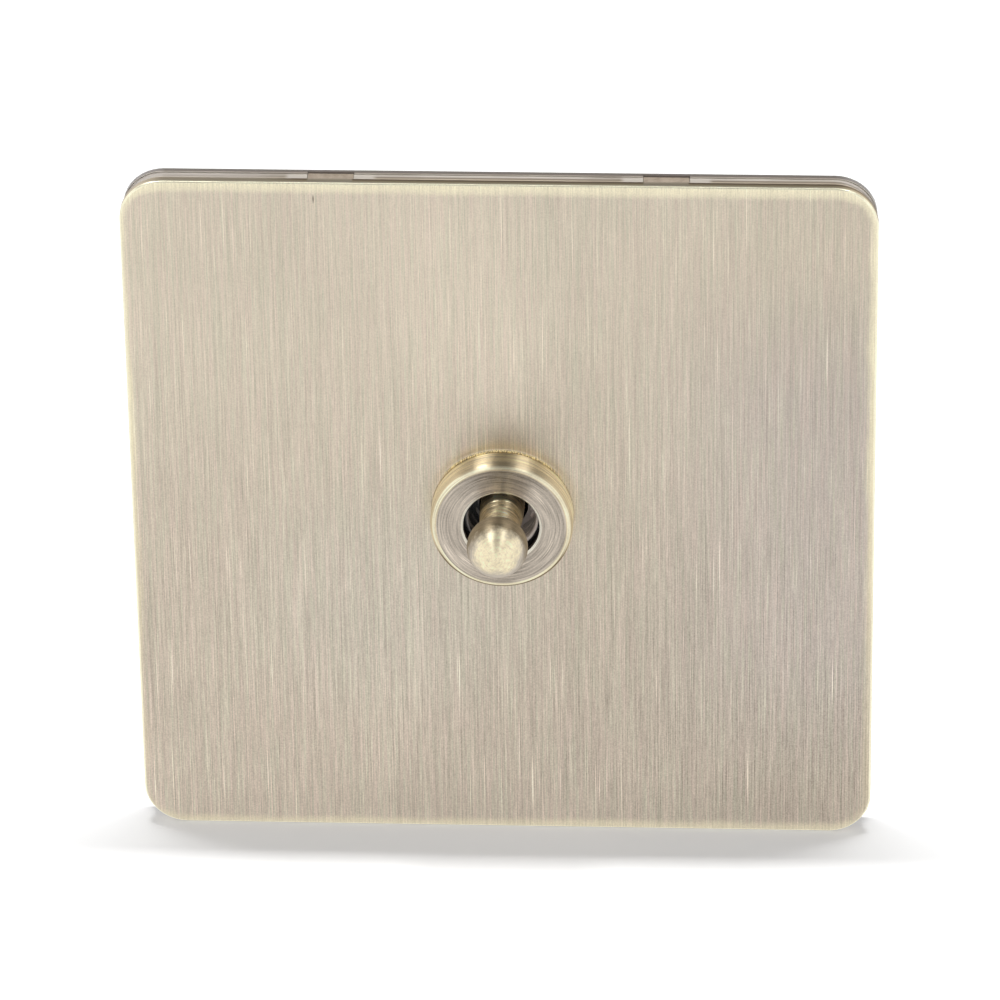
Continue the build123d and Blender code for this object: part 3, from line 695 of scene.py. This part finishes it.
# %% Lever piece
ball_radius, lever_reach, back_depth = 3.5 * mm, 19.3 * mm, 2.85 * mm
neck_end = lever_reach - back_depth
neck_top, neck_base = 2.2 * mm, 2.55 * mm
shoulder, spigot_start, spigot_radius = 6.5 * mm, 2.5 * mm, 1.75 * mm
taper_start, groove = 9.5 * mm, 0.1 * mm
profile = [(spigot_start, 0), (spigot_start, spigot_radius), (shoulder, spigot_radius), (shoulder, neck_base)]
profile += [(taper_start, neck_base)]
ring_cuts = ((0.30, 0), (0.31, 0.04), (0.325, 0.04), (0.335, 0), (0.48, 0), (0.487, 0.02), (0.494, 0))
for share, cut in ring_cuts:
    along_axis = taper_start + share * (neck_end - taper_start)
    profile.append((along_axis, neck_base + share * (neck_top - neck_base) - cut * mm))
profile += [(neck_end - groove, neck_top), (neck_end - groove / 2, neck_top - groove), (neck_end, neck_top)]
back_rise = ball_radius - neck_top
back_radius = (back_depth**2 + back_rise**2) / (2 * back_rise)
back_steps = 16
for i in range(1, back_steps + 1):
    before = back_depth * (1 - i / back_steps)
    profile.append((lever_reach - before, ball_radius - back_radius + math.sqrt(back_radius**2 - before**2)))
profile += arc_points((lever_reach, 0), ball_radius, 90, 0, 24)[1:-1] + [(lever_reach + ball_radius, 0)]
lever_mesh = turned(profile, 128, pivot, lever_tilt)
stand_in(piece_from("ball_lever", lever_mesh, lever_finish, sharp_degrees=25), "toggle_lever")

# %% [markdown]
# ## Finishes of the carried-over solids
# The other solids keep their CAD shape and get a finish each. Moulded plastic has a fine grain from the tool
# and a faint cloudiness, plated steel has a crystalline cloud and stray scratches, and worked metal shows the
# direction in which it was milled or rolled. One group gives the cloud and the scratches to all of them.

# %% Clouds and stray scratches
w, given, out = group_named("clouds_and_scratches", ["Cloud", "Scratch", "Grain"], Cloud=300.0, Scratch=900.0)
clouds = w.tree
slanted = w.mapped(given["Vector"], Rotation=(0.5, 0.9, 0.3), Scale=(1, 1, 0.04))
cloud = w.noise(given["Vector"], given["Cloud"], 4.0, 0.6)
scratch = w.ramp(w.noise(slanted, given["Scratch"], 2.0), 0.64, 0.76)
w.give(out, {"Cloud": cloud, "Scratch": scratch, "Grain": w.noise(given["Vector"], 6500.0, 2.0)})


# %% Finish makers
def moulded(name, dark, light, roughness, relief=0.15):
    """Plastic from a spark-eroded tool: cloudy tone, fine grain, a few rubbed scratches."""
    w = Finish(name, 0.0, roughness)
    wear = w.effect(clouds, w.place, Cloud=350.0)
    colour = w.mix(w.ramp(wear["Cloud"], 0.35, 0.65), tone(*dark), tone(*light))
    colour = w.mix(w.times(wear["Scratch"], 0.2), colour, tone(128, 126, 124))
    grained = w.ramp(wear["Grain"], 0.3, 0.7, roughness + 0.1, roughness - 0.05)
    w.dress(colour, grained, wear["Grain"], relief, 0.02)
    return w


def plated(name, dark, light, roughness, cloud=700.0):
    """Zinc-plated or drawn steel: a crystalline cloud and bright scratches."""
    w = Finish(name, 1.0, roughness)
    wear = w.effect(clouds, w.place, Cloud=cloud, Scratch=1400.0)
    cells = w.node("ShaderNodeTexVoronoi", {"Vector": w.place, "Scale": cloud * 1.6}, feature="F1")
    spangle = w.axes(cells.outputs["Color"])["X"]
    colour = w.mix(w.ramp(wear["Cloud"], 0.35, 0.65), tone(*dark), tone(*light))
    change = w.total((0.10, spangle, 0.5), (0.25, wear["Grain"], 0.5), (0.25, wear["Scratch"], 0.0))
    clouded = w.ramp(wear["Cloud"], 0.3, 0.7, roughness + 0.08, roughness - 0.06)
    w.dress(w.shaded(colour, change), clouded, wear["Grain"], 0.08, 0.01)
    return w


def worked(name, dark, light, roughness, turn=(0, 0, 0)):
    """Rolled or milled metal: hairlines along the work, with a cloud of tarnish."""
    w = Finish(name, 1.0, roughness)
    lines = w.effect(hairlines, w.mapped(w.place, Rotation=turn))
    wear = w.effect(clouds, w.place, Cloud=500.0)
    colour = w.mix(w.ramp(wear["Cloud"], 0.35, 0.65), tone(*dark), tone(*light))
    colour = w.shaded(colour, w.times(lines["Shade"], 1.2))
    lined = w.ramp(lines["Fine"], 0.25, 0.75, roughness + 0.06, roughness - 0.06)
    w.dress(colour, lined, lines["Fine"], 0.1, 0.02)
    return w


upright = (0.5 * math.pi, 0, 0)
finishes = {
    "yoke_plate": plated("zinc_plate", (170, 171, 170), (202, 204, 206), 0.36),
    "lock_washer": plated("washer_steel", (150, 150, 150), (182, 182, 184), 0.34),
    "pivot_pin": plated("pin_steel", (150, 150, 150), (186, 186, 188), 0.25),
    "switch_base": moulded("black_base", (19, 19, 20), (31, 31, 33), 0.38),
    "lever_carrier": moulded("carrier_acetal", (22, 22, 22), (36, 36, 36), 0.42),
    "plunger": moulded("plunger_nylon", (216, 211, 200), (230, 227, 218), 0.45),
    "rocker_contact": worked("copper_strip", (180, 116, 88), (212, 150, 116), 0.34),
    "lower_terminal": worked("milled_brass", (190, 160, 100), (218, 190, 130), 0.32, upright),
    "moving_contact_tips": plated("silver_tips", (204, 204, 202), (226, 226, 222), 0.24),
}
for node in ("upper_terminal", "common_terminal", "earth_terminal"):
    finishes[node] = finishes["lower_terminal"]
finishes["fixed_contact_tips"] = finishes["moving_contact_tips"]
print("finishes so far:", sorted({finish.material.name for finish in finishes.values()}))

# %% [markdown]
# ## Black nose in the collar's hole
# Through the collar's hole the bore in the black cover shows, on both sides of the lever. Its wall carries
# the rings of the drill that opened it, and the turning marks, made coarse, paint them as pale arcs on black:
# partly dust, partly painted light where the scuffed rings catch the lamps. The arcs are painted brighter
# towards the right, as painted light.

# %% Scuffed black cover
w = moulded("black_cover", (15, 15, 16), (24, 24, 25), 0.3, relief=0.08)
arcs = w.effect(turning, w.place, Lines=2600.0)
in_bore = w.times(w.slope(arcs["Radius"], 4.3, 4.0), w.slope(arcs["Axial"], 0.0, -0.6))
across = w.axes(w.place)["X"]
# partly painted light: pale arcs on the bore, brighter towards the right
ringed = w.plus(w.slope(across, -3.0, 3.0, 0.05, 0.65), w.ramp(arcs["Fine"], 0.48, 0.62))
dust_and_painted_light = w.times(in_bore, w.times(ringed, w.slope(across, -3.0, 3.0, 0.28, 1.0)))
base = w.shader.inputs["Base Color"]
w.set(base, w.mix(dust_and_painted_light, base.links[0].from_socket, tone(250, 238, 230)))
finishes["switch_cover"] = w
w.tell("with arcs,")

# %% [markdown]
# ## Clear frame
# The frame is clear polycarbonate. Seen edge-on from above, it is a greyish strip whose tones are painted by
# depth and by place along the edge: the flange at the wall is painted dark, as painted shade, because one
# looks down into it; the rim in front of it is painted the brown of what lies behind, as a painted
# reflection, with two pale streaks painted as highlights, where light is caught inside; and a dark brown line
# next to the plate is painted shade of the gap between them. The thick stretches beside the clips and the
# left end are painted paler, as painted light. A third of the light still passes through. Its flat back is
# paler, with the flow marks of the moulding and the round prints of the pins that pushed it out of the mould.
# The pins lie alike in all four quarters, so the coordinates are folded before the prints are drawn.

# %% Clear polycarbonate
w = finishes["clip_frame"] = Finish("clear_polycarbonate", 0.0, 0.2, Transmission_Weight=0.35, IOR=1.58)
place = w.place
parts = w.axes(place)
behind = w.minus(parts["Y"], plate_back)
uneven = w.streaked(place, (90, 300, 90), 2, 2.0)
# painted reflection: the rim takes the brown of what lies behind, with two painted highlight streaks
rim = tone(152, 140, 124)
for middle, half, light in ((1.42, 0.36, tone(222, 214, 204)), (0.62, 0.22, tone(222, 206, 184))):
    from_streak = w.abs(w.minus(behind, middle * mm))
    painted_highlight_streak = w.times(w.slope(from_streak, half, 0.3 * half), w.ramp(uneven, 0.25, 0.6, 0.35, 1.0))
    rim = w.mix(painted_highlight_streak, rim, light)
# painted light: the edge is paler beside the clips and at the left end
painted_light_by_clips = w.times(w.slope(off_clips(w, parts["X"]), 5.4, 4.6), w.slope(behind, 1.7, 1.5))
painted_light_left_end = w.times(w.slope(parts["X"], -22, -30, 0.0, 0.6), w.slope(behind, 1.8, 1.6))
colour = w.layers(
    rim,
    # painted shade: a dark line at the plate's back, and the dark flange
    (w.slope(behind, 0.25, 0.12), tone(112, 97, 79)),
    (w.slope(behind, 1.7, 1.9), tone(124, 116, 110)),
    (w.times(painted_light_by_clips, 0.8), tone(222, 214, 203)),
    (painted_light_left_end, tone(204, 196, 188)),
)
wear = w.effect(clouds, place, Cloud=200.0)
colour = w.shaded(colour, w.total((0.15, wear["Cloud"], 0.5)))
w.tell("edge of")

# %% Back of the clear frame
frame_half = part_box("clip_frame")[1].x
edge = w.effect(square_edge, place, Half=frame_half, Corner=plate_corner - plate_half + frame_half)
flow = w.streaked(place, (35, 35, 70), 5, 3.0)
clear = w.shaded(tone(208, 204, 197), w.total((0.35, flow, 0.5), (0.12, wear["Grain"], 0.5)))
clear = w.mix(w.times(wear["Scratch"], 0.35), clear, tone(238, 236, 232))
folded = w.xyz(X=w.abs(parts["X"]), Z=w.abs(parts["Z"]))
pin_reach = (2.2, 2.2)
pins = 0.0
for middle in ((36, 36), (36, 14), (16, 36), (20, 20)):
    pins = w.math("MAXIMUM", pins, w.patch(folded, middle, pin_reach))
ring = w.times(w.ramp(pins, 0.0, 0.05), w.ramp(pins, 0.25, 0.1))
clear = w.shaded(clear, w.total((-0.3, ring, 0.0), (0.06, w.ramp(pins, 0.1, 0.2), 0.0)))
colour = w.mix(w.slope(edge["Inset"], 0.5, 1.0), colour, clear)
w.dress(colour, w.ramp(wear["Cloud"], 0.3, 0.7, 0.26, 0.14), w.ramp(pins, 0.0, 0.08), 0.25, 0.03)

# %% [markdown]
# ## Pieces that repeat: clips, screws and rivets
# Four clips, four screws and four rivets are each one shape set out on points, which is what Geometry Nodes
# do well. The shape is made once. A tree puts it on every point, turns it, makes the copies real and gives
# them their finish. The screw tree also cuts the slot and turns each screw by a random angle from a fixed
# seed, because no two screws stop in the same place.

# %% Helpers for Geometry Nodes
OBJECT, MATERIAL, INTEGER = "NodeSocketObject", "NodeSocketMaterial", "NodeSocketInt"


def growth_named(name, inputs):
    """A new Geometry Nodes tree with geometry in and out and the named inputs."""
    inputs = [("Geometry", GEOMETRY, None)] + inputs + [("Finish", MATERIAL, None)]
    return tree_named(name, "GeometryNodeTree", inputs, [("Geometry", GEOMETRY)])


def real_with_finish(w, given, out, geometry):
    """The last steps of every tree: what it made becomes real and gets its finish."""
    real = w.node("GeometryNodeRealizeInstances", {"Geometry": geometry}).outputs[0]
    dressed = w.node("GeometryNodeSetMaterial", {"Geometry": real, "Material": given["Finish"]})
    w.give(out, {"Geometry": dressed.outputs[0]})
    return w.tree


def set_out(w, given, out, shape, turn):
    """A shape on every point, turned and finished."""
    values = {"Points": given["Geometry"], "Instance": shape, "Rotation": turn}
    return real_with_finish(w, given, out, w.node("GeometryNodeInstanceOnPoints", values).outputs[0])


def grown(tree, name, points, finish, values):
    """What the tree makes from some points, as a plain mesh. The inputs are set before it first runs."""
    start = bpy.data.meshes.new(name)
    start.from_pydata(points, [], [])
    made = into_scene(name, start)
    modifier = made.modifiers.new(name, "NODES")
    modifier.node_group = tree
    values = {**values, "Finish": finish.material}
    for item in tree.interface.items_tree:
        if item.in_out == "INPUT" and item.name in values:
            modifier[item.identifier] = values[item.name]
    result = bpy.data.meshes.new_from_object(made.evaluated_get(bpy.context.evaluated_depsgraph_get()))
    made.modifiers.remove(modifier)
    made.data = result
    result.name = name
    soften(result)
    return made


def pattern_of(name, mesh_data):
    """The one shape that a tree copies. It leaves the scene when the copies are made."""
    return bpy.data.objects.new(name, mesh_of(name, mesh_data))


print("sockets:", OBJECT, MATERIAL, INTEGER)

# %% Tree of plain copies
w, given, out = growth_named("copies_on_points", [("Shape", OBJECT, None), ("Turn Below", FLOAT, 0.0)])
shape = w.node("GeometryNodeObjectInfo", {"Object": given["Shape"]}).outputs["Geometry"]
low_point = w.math("LESS_THAN", w.axes(w.node("GeometryNodeInputPosition").outputs[0])["Z"], 0.0)
copies = set_out(w, given, out, shape, w.xyz(Y=w.times(low_point, given["Turn Below"])))

# %% Slotted screw tree
w, given, out = growth_named(
    "slotted_screws",
    [
        ("Blank", OBJECT, None),
        ("Slot Width", FLOAT, 0.7 * mm),
        ("Slot Depth", FLOAT, 0.7 * mm),
        ("Head Height", FLOAT, 1.6 * mm),
        ("Head Diameter", FLOAT, 4.2 * mm),
        ("Seed", INTEGER, 4),
    ],
)
unslotted = w.node("GeometryNodeObjectInfo", {"Object": given["Blank"]}).outputs["Geometry"]
tall = w.times(given["Slot Depth"], 2.0)
wide = w.times(given["Head Diameter"], 1.2)
cutter = w.node("GeometryNodeMeshCube", {"Size": w.xyz(X=wide, Y=tall, Z=given["Slot Width"])})
lift = {"Geometry": cutter.outputs["Mesh"], "Translation": w.xyz(Y=given["Head Height"])}
cutter = w.node("GeometryNodeTransform", lift).outputs[0]
slotted = w.node("GeometryNodeMeshBoolean", {"Mesh 1": unslotted, "Mesh 2": cutter}, operation="DIFFERENCE")
any_turn = w.node("FunctionNodeRandomValue", {"Seed": given["Seed"]}, data_type="FLOAT_VECTOR")
any_turn.inputs["Max"].default_value = (0, math.pi, 0)
screws_tree = set_out(w, given, out, slotted.outputs["Mesh"], any_turn.outputs["Value"])

# %% Screw and rivet shapes
head, head_height, head_round = 2.1 * mm, 1.6 * mm, 0.25 * mm
shank, shank_length = 1.2 * mm, 2.8 * mm
pitch, thread_start, thread_depth = 0.4 * mm, 0.15 * mm, 0.12 * mm
edge_break, round_middle = 0.1 * mm, 0.07 * mm
profile = [(-head_height, 0), (-head_height, head - head_round)]
profile += [(-head_height + round_middle, head - round_middle), (-head_height + head_round, head)]
profile += [(-edge_break, head), (0, head - edge_break), (0, shank)]
for turn_count in range(6):
    start = thread_start + turn_count * pitch
    profile += [(start, shank), (start + 0.5 * pitch, shank - thread_depth)]
profile += [(shank_length - 0.15 * mm, shank), (shank_length, shank - 0.2 * mm), (shank_length, 0)]
blank = pattern_of("screw_blank", turned(profile, 40))
rivet_low, rivet_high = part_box("housing_rivets")
rivet_length = rivet_high.y - rivet_low.y
rivet_shank, rivet_head, rivet_rise = 1.2 * mm, 2.0 * mm, 0.7 * mm
profile = [(0, 0), (-0.02 * mm, 1.4 * mm), (-0.12 * mm, rivet_head - 0.12 * mm), (-0.26 * mm, rivet_head)]
profile += [(-rivet_rise, rivet_head), (-rivet_rise, rivet_shank), (rivet_rise - rivet_length, rivet_shank)]
rolled_at = rivet_rise - rivet_length
for forward, outward in arc_points((0, 0), 1.0, 90, 180, 8)[:-1]:
    profile.append((rolled_at + forward * rivet_rise, outward * rivet_head))
profile += [(-rivet_length, 0)]
rivet = pattern_of("rivet", turned(profile, 40))
print("screw blank", len(blank.data.polygons), "faces, rivet", len(rivet.data.polygons), "faces")

# %% Screws and rivets in place
screw_steel = plated("screw_steel", (168, 168, 164), (198, 198, 196), 0.3, 1100.0)
for node, seed in (("terminal_screws", 4), ("earth_screw", 9)):
    low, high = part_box(node)
    seat = high.y - head_height
    if node == "earth_screw":
        points = [((low.x + high.x) / 2, seat, 0)]
    else:
        points = [(0, seat, high.z - head), (0, seat, low.z + head), (high.x - head, seat, 0)]
    stand_in(grown(screws_tree, "slotted_" + node, points, screw_steel, {"Blank": blank, "Seed": seed}), node)
reach = rivet_high.x - rivet_head, rivet_high.z - rivet_head
points = [(x * reach[0], rivet_low.y, z * reach[1]) for x in (-1, 1) for z in (-1, 1)]
rivet_steel = plated("rivet_steel", (160, 160, 158), (190, 190, 190), 0.32, 1000.0)
stand_in(grown(copies, "rolled_rivets", points, rivet_steel, {"Shape": rivet}), "housing_rivets")
for pattern in (blank, rivet):
    bpy.data.objects.remove(pattern)

# %% [markdown]
# ## Spring clips
# Each clip is one strip of spring steel, bent twice: a foot on the back of the plate, a leg down the side of
# the frame and a hook under its bar. The outline of its side is drawn with a small round at each fold, which
# the CAD solid leaves out, pulled out to the strip's width, and its cut edges are broken a little by a bevel.

# %% Clip shape and copies
clip_low, clip_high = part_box("plate_clips")
strip, foot, hook, clip_width = 0.4 * mm, 6.0 * mm, 1.6 * mm, 5.2 * mm
outer_fold, hook_fold, small_fold, bevel = 0.15 * mm, 0.06 * mm, 0.05 * mm, 0.04 * mm
outer = clip_high.z
inner = outer - strip
front, back = clip_low.y, clip_high.y + 0.12 * mm
corners = [
    (front, outer - foot, 0.0),
    (front, outer, outer_fold),
    (back, outer, hook_fold),
    (back, outer - hook, small_fold),
    (back - strip, outer - hook, small_fold),
    (back - strip, inner, small_fold),
    (front + strip, inner, small_fold),
    (front + strip, outer - foot, 0.0),
]
outline = []
for i, (y, z, radius) in enumerate(corners):
    here = Vector((y, z))
    before, after = (Vector(corners[j % len(corners)][:2]) - here for j in (i - 1, i + 1))
    start, end = here + before.normalized() * radius, here + after.normalized() * radius
    for step in range(6 if radius else 1):
        near, far = start.lerp(here, step / 5), here.lerp(end, step / 5)
        outline.append(near.lerp(far, step / 5))
clip_mesh = bmesh.new()
ends = [[Vector((x, y, z)) for y, z in outline] for x in (-clip_width / 2, clip_width / 2)]
loops_joined(clip_mesh, ends)
clip_mesh.verts.ensure_lookup_table()
count = len(outline)
clip_mesh.faces.new(clip_mesh.verts[:count])
clip_mesh.faces.new(clip_mesh.verts[count:])
rims = [edge for edge in clip_mesh.edges if abs(edge.verts[0].co.x - edge.verts[1].co.x) < 0.01 * mm]
bmesh.ops.bevel(clip_mesh, geom=rims, offset=bevel, segments=2, affect="EDGES", clamp_overlap=True)
for vert in clip_mesh.verts:
    vert.co -= Vector((0, clip_low.y, outer))
clip = pattern_of("clip", clip_mesh)
clip_steel = plated("spring_steel", (148, 135, 120), (166, 152, 136), 0.55, 900.0)
clip_steel.shader.inputs["Metallic"].default_value = 0.2
points = [(x, clip_low.y, z) for x in (-clip_x, clip_x) for z in (-outer, outer)]
values = {"Shape": clip, "Turn Below": math.pi}
stand_in(grown(copies, "spring_clips", points, clip_steel, values), "plate_clips")
bpy.data.objects.remove(clip)

# %% [markdown]
# ## Plunger spring
# A small coil pushes the plunger on the rocker. A spiral curve with a round section makes it, with the number
# of turns, the wire and the length as inputs.

# %% Spring tree
coil_length, coil_start = 2.65 * mm, 4.825 * mm
w, given, out = growth_named(
    "coil_spring",
    [
        ("Turns", FLOAT, 4.0),
        ("Coil Radius", FLOAT, 1.225 * mm),
        ("Wire Radius", FLOAT, 0.175 * mm),
        ("Length", FLOAT, coil_length),
        ("Start", VECTOR, None),
        ("Lean", VECTOR, None),
    ],
)
coil = {"Rotations": given["Turns"], "Height": given["Length"], "Resolution": 36}
coil |= {"Start Radius": given["Coil Radius"], "End Radius": given["Coil Radius"]}
path = w.node("GeometryNodeCurveSpiral", coil).outputs["Curve"]
section = w.node("GeometryNodeCurvePrimitiveCircle", {"Resolution": 12, "Radius": given["Wire Radius"]})
wire = {"Curve": path, "Profile Curve": section.outputs["Curve"], "Fill Caps": True}
wire = w.node("GeometryNodeCurveToMesh", wire).outputs["Mesh"]
seated = {"Geometry": wire, "Translation": given["Start"], "Rotation": given["Lean"]}
coil_tree = real_with_finish(w, given, out, w.node("GeometryNodeTransform", seated).outputs[0])

# %% Spring piece
lever_way = Vector((0, -math.cos(lever_tilt), math.sin(lever_tilt)))
spring_wire = plated("spring_wire", (160, 160, 160), (196, 196, 196), 0.24, 1500.0)
lean = Vector((0, 0, 1)).rotation_difference(lever_way).to_euler()
values = {"Start": pivot - lever_way * coil_start, "Lean": lean}
spring = stand_in(grown(coil_tree, "coil_spring", [(0, 0, 0)], spring_wire, values), "plunger_spring")
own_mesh(spring)

# %% Finishes onto the nodes
for node, finish in finishes.items():
    mesh = nodes[node].data
    mesh.materials.clear()
    mesh.materials.append(finish.material)
print("finished nodes:", len(finishes))

# %% [markdown]
# ## Stage, light and camera
# The switch stands on its lower edge on a pale floor, as a product shot has it. The floor glows a little for
# the camera, so that it reads as white while it still takes the shadow, and metal mirrors it as white. A long
# narrow lamp overhead, just behind the plate, lights the floor and draws a short shadow in front. Two panels
# beside it, with a dark gap between them, light the metal only: they draw the two bright streaks on the ball.
# Each is kept out of what the other does, so that streaks and shadow can be set apart. The room is bright in
# front and dim at the top.

# %% Floor
floor_mesh = bmesh.new()
floor_reach, floor_gap = 3.0, 0.02 * mm
floor_level = cad_low.z - floor_gap
bmesh.ops.create_grid(floor_mesh, x_segments=2, y_segments=2, size=floor_reach)
for vert in floor_mesh.verts:
    vert.co.z = floor_level
w = Finish("pale_floor", 0.0, 0.5)
w.tree.nodes.remove(w.shader)
path = w.node("ShaderNodeLightPath").outputs
mirrored = w.math("MAXIMUM", path["Is Glossy Ray"], path["Is Transmission Ray"])
matt = w.node("ShaderNodeBsdfDiffuse", {"Color": (0.8, 0.8, 0.8, 1)})
level = w.times(path["Is Camera Ray"], w.ramp(w.length(w.place), 0.2, 1.2, 0.26, 0.7))
glow = w.node("ShaderNodeEmission", {"Strength": level})
seen = w.node("ShaderNodeAddShader", {0: matt.outputs[0], 1: glow.outputs[0]})
white = w.node("ShaderNodeEmission", {"Strength": 1.03})
both = {0: w.times(mirrored, 0.75), 1: seen.outputs[0], 2: white.outputs[0]}
surface = w.node("ShaderNodeMixShader", both).outputs[0]
w.set(w.tree.nodes["Material Output"].inputs["Surface"], surface)
floor = piece_from("floor", floor_mesh, w)
floor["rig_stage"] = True
print("floor at", round(floor_level / mm, 2), "mm")

# %% Light
world = bpy.data.worlds.new("studio")
bpy.context.scene.world = world
world.use_nodes = True
w = Wiring(world.node_tree)
path = w.node("ShaderNodeLightPath").outputs
background = world.node_tree.nodes["Background"]
background.inputs["Color"].default_value = (1, 1, 1, 1)
heading = w.axes(w.node("ShaderNodeTexCoord").outputs["Generated"])
gap = w.times(w.ramp(w.abs(heading["X"]), 0.28, 0.0), w.ramp(heading["Z"], 0.05, 0.35))
room = w.times(w.ramp(heading["Z"], 0.5, 0.64, 1.15, 0.1), w.ramp(gap, 0.0, 1.0, 1.0, 0.15))
w.set(background.inputs["Strength"], w.mix(path["Is Camera Ray"], room, (1, 1, 1, 1)))


def softbox(name, place, width, length, radiance):
    """A lamp panel that looks at the origin, with the brightness of its surface."""
    lamp = bpy.data.lights.new(name, "AREA")
    lamp.shape = "RECTANGLE"
    lamp.size, lamp.size_y = width, length
    lamp.energy = radiance * math.pi * width * length
    made = into_scene(name, lamp)
    made.location = place
    made.rotation_euler = (-Vector(place)).to_track_quat("-Z", "Y").to_euler()
    print(name, "power", round(lamp.energy, 2), "W")
    return made


for name, x, radiance in (("panel_left", -0.4, 9.6), ("panel_right", 0.4, 7.4)):
    softbox(name, (x, -0.03, 0.85), 0.44, 0.25, radiance).visible_diffuse = False
softbox("overhead", (0, 0.07, 0.85), 0.42, 0.04, 138.0).visible_glossy = False

# %% Camera
azimuth, elevation, roll = (math.radians(v) for v in (3.316, 30.307, -0.901))
shift_x, shift_y, distance = -0.289 * mm, 1.581 * mm, 831.069 * mm
sensor_width, focal_pixels, picture_pixels = 36.0, 7181.0, 1000
turn = Matrix.Rotation(azimuth, 4, "Z") @ Matrix.Rotation(math.pi / 2 - elevation, 4, "X")
turn = turn @ Matrix.Rotation(roll, 4, "Z")
stand = Vector((0, plate_front + 0.1 * mm, 0)) + turn @ Vector((shift_x, shift_y, distance))
camera = into_scene("camera", bpy.data.cameras.new("camera"))
camera.data.sensor_width = sensor_width
camera.data.lens = focal_pixels * sensor_width / picture_pixels
camera.data.clip_start = 0.01
camera.matrix_world = Matrix.Translation(stand) @ turn
bpy.context.scene.camera = camera
bpy.context.scene.view_settings.view_transform = "Standard"
print("camera at", [round(v, 3) for v in stand], "m, lens", round(camera.data.lens, 1), "mm")

# %% Sizes
low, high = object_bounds()
print("visual box in mm:", [round((b - a) / mm, 2) for a, b in zip(low, high)])
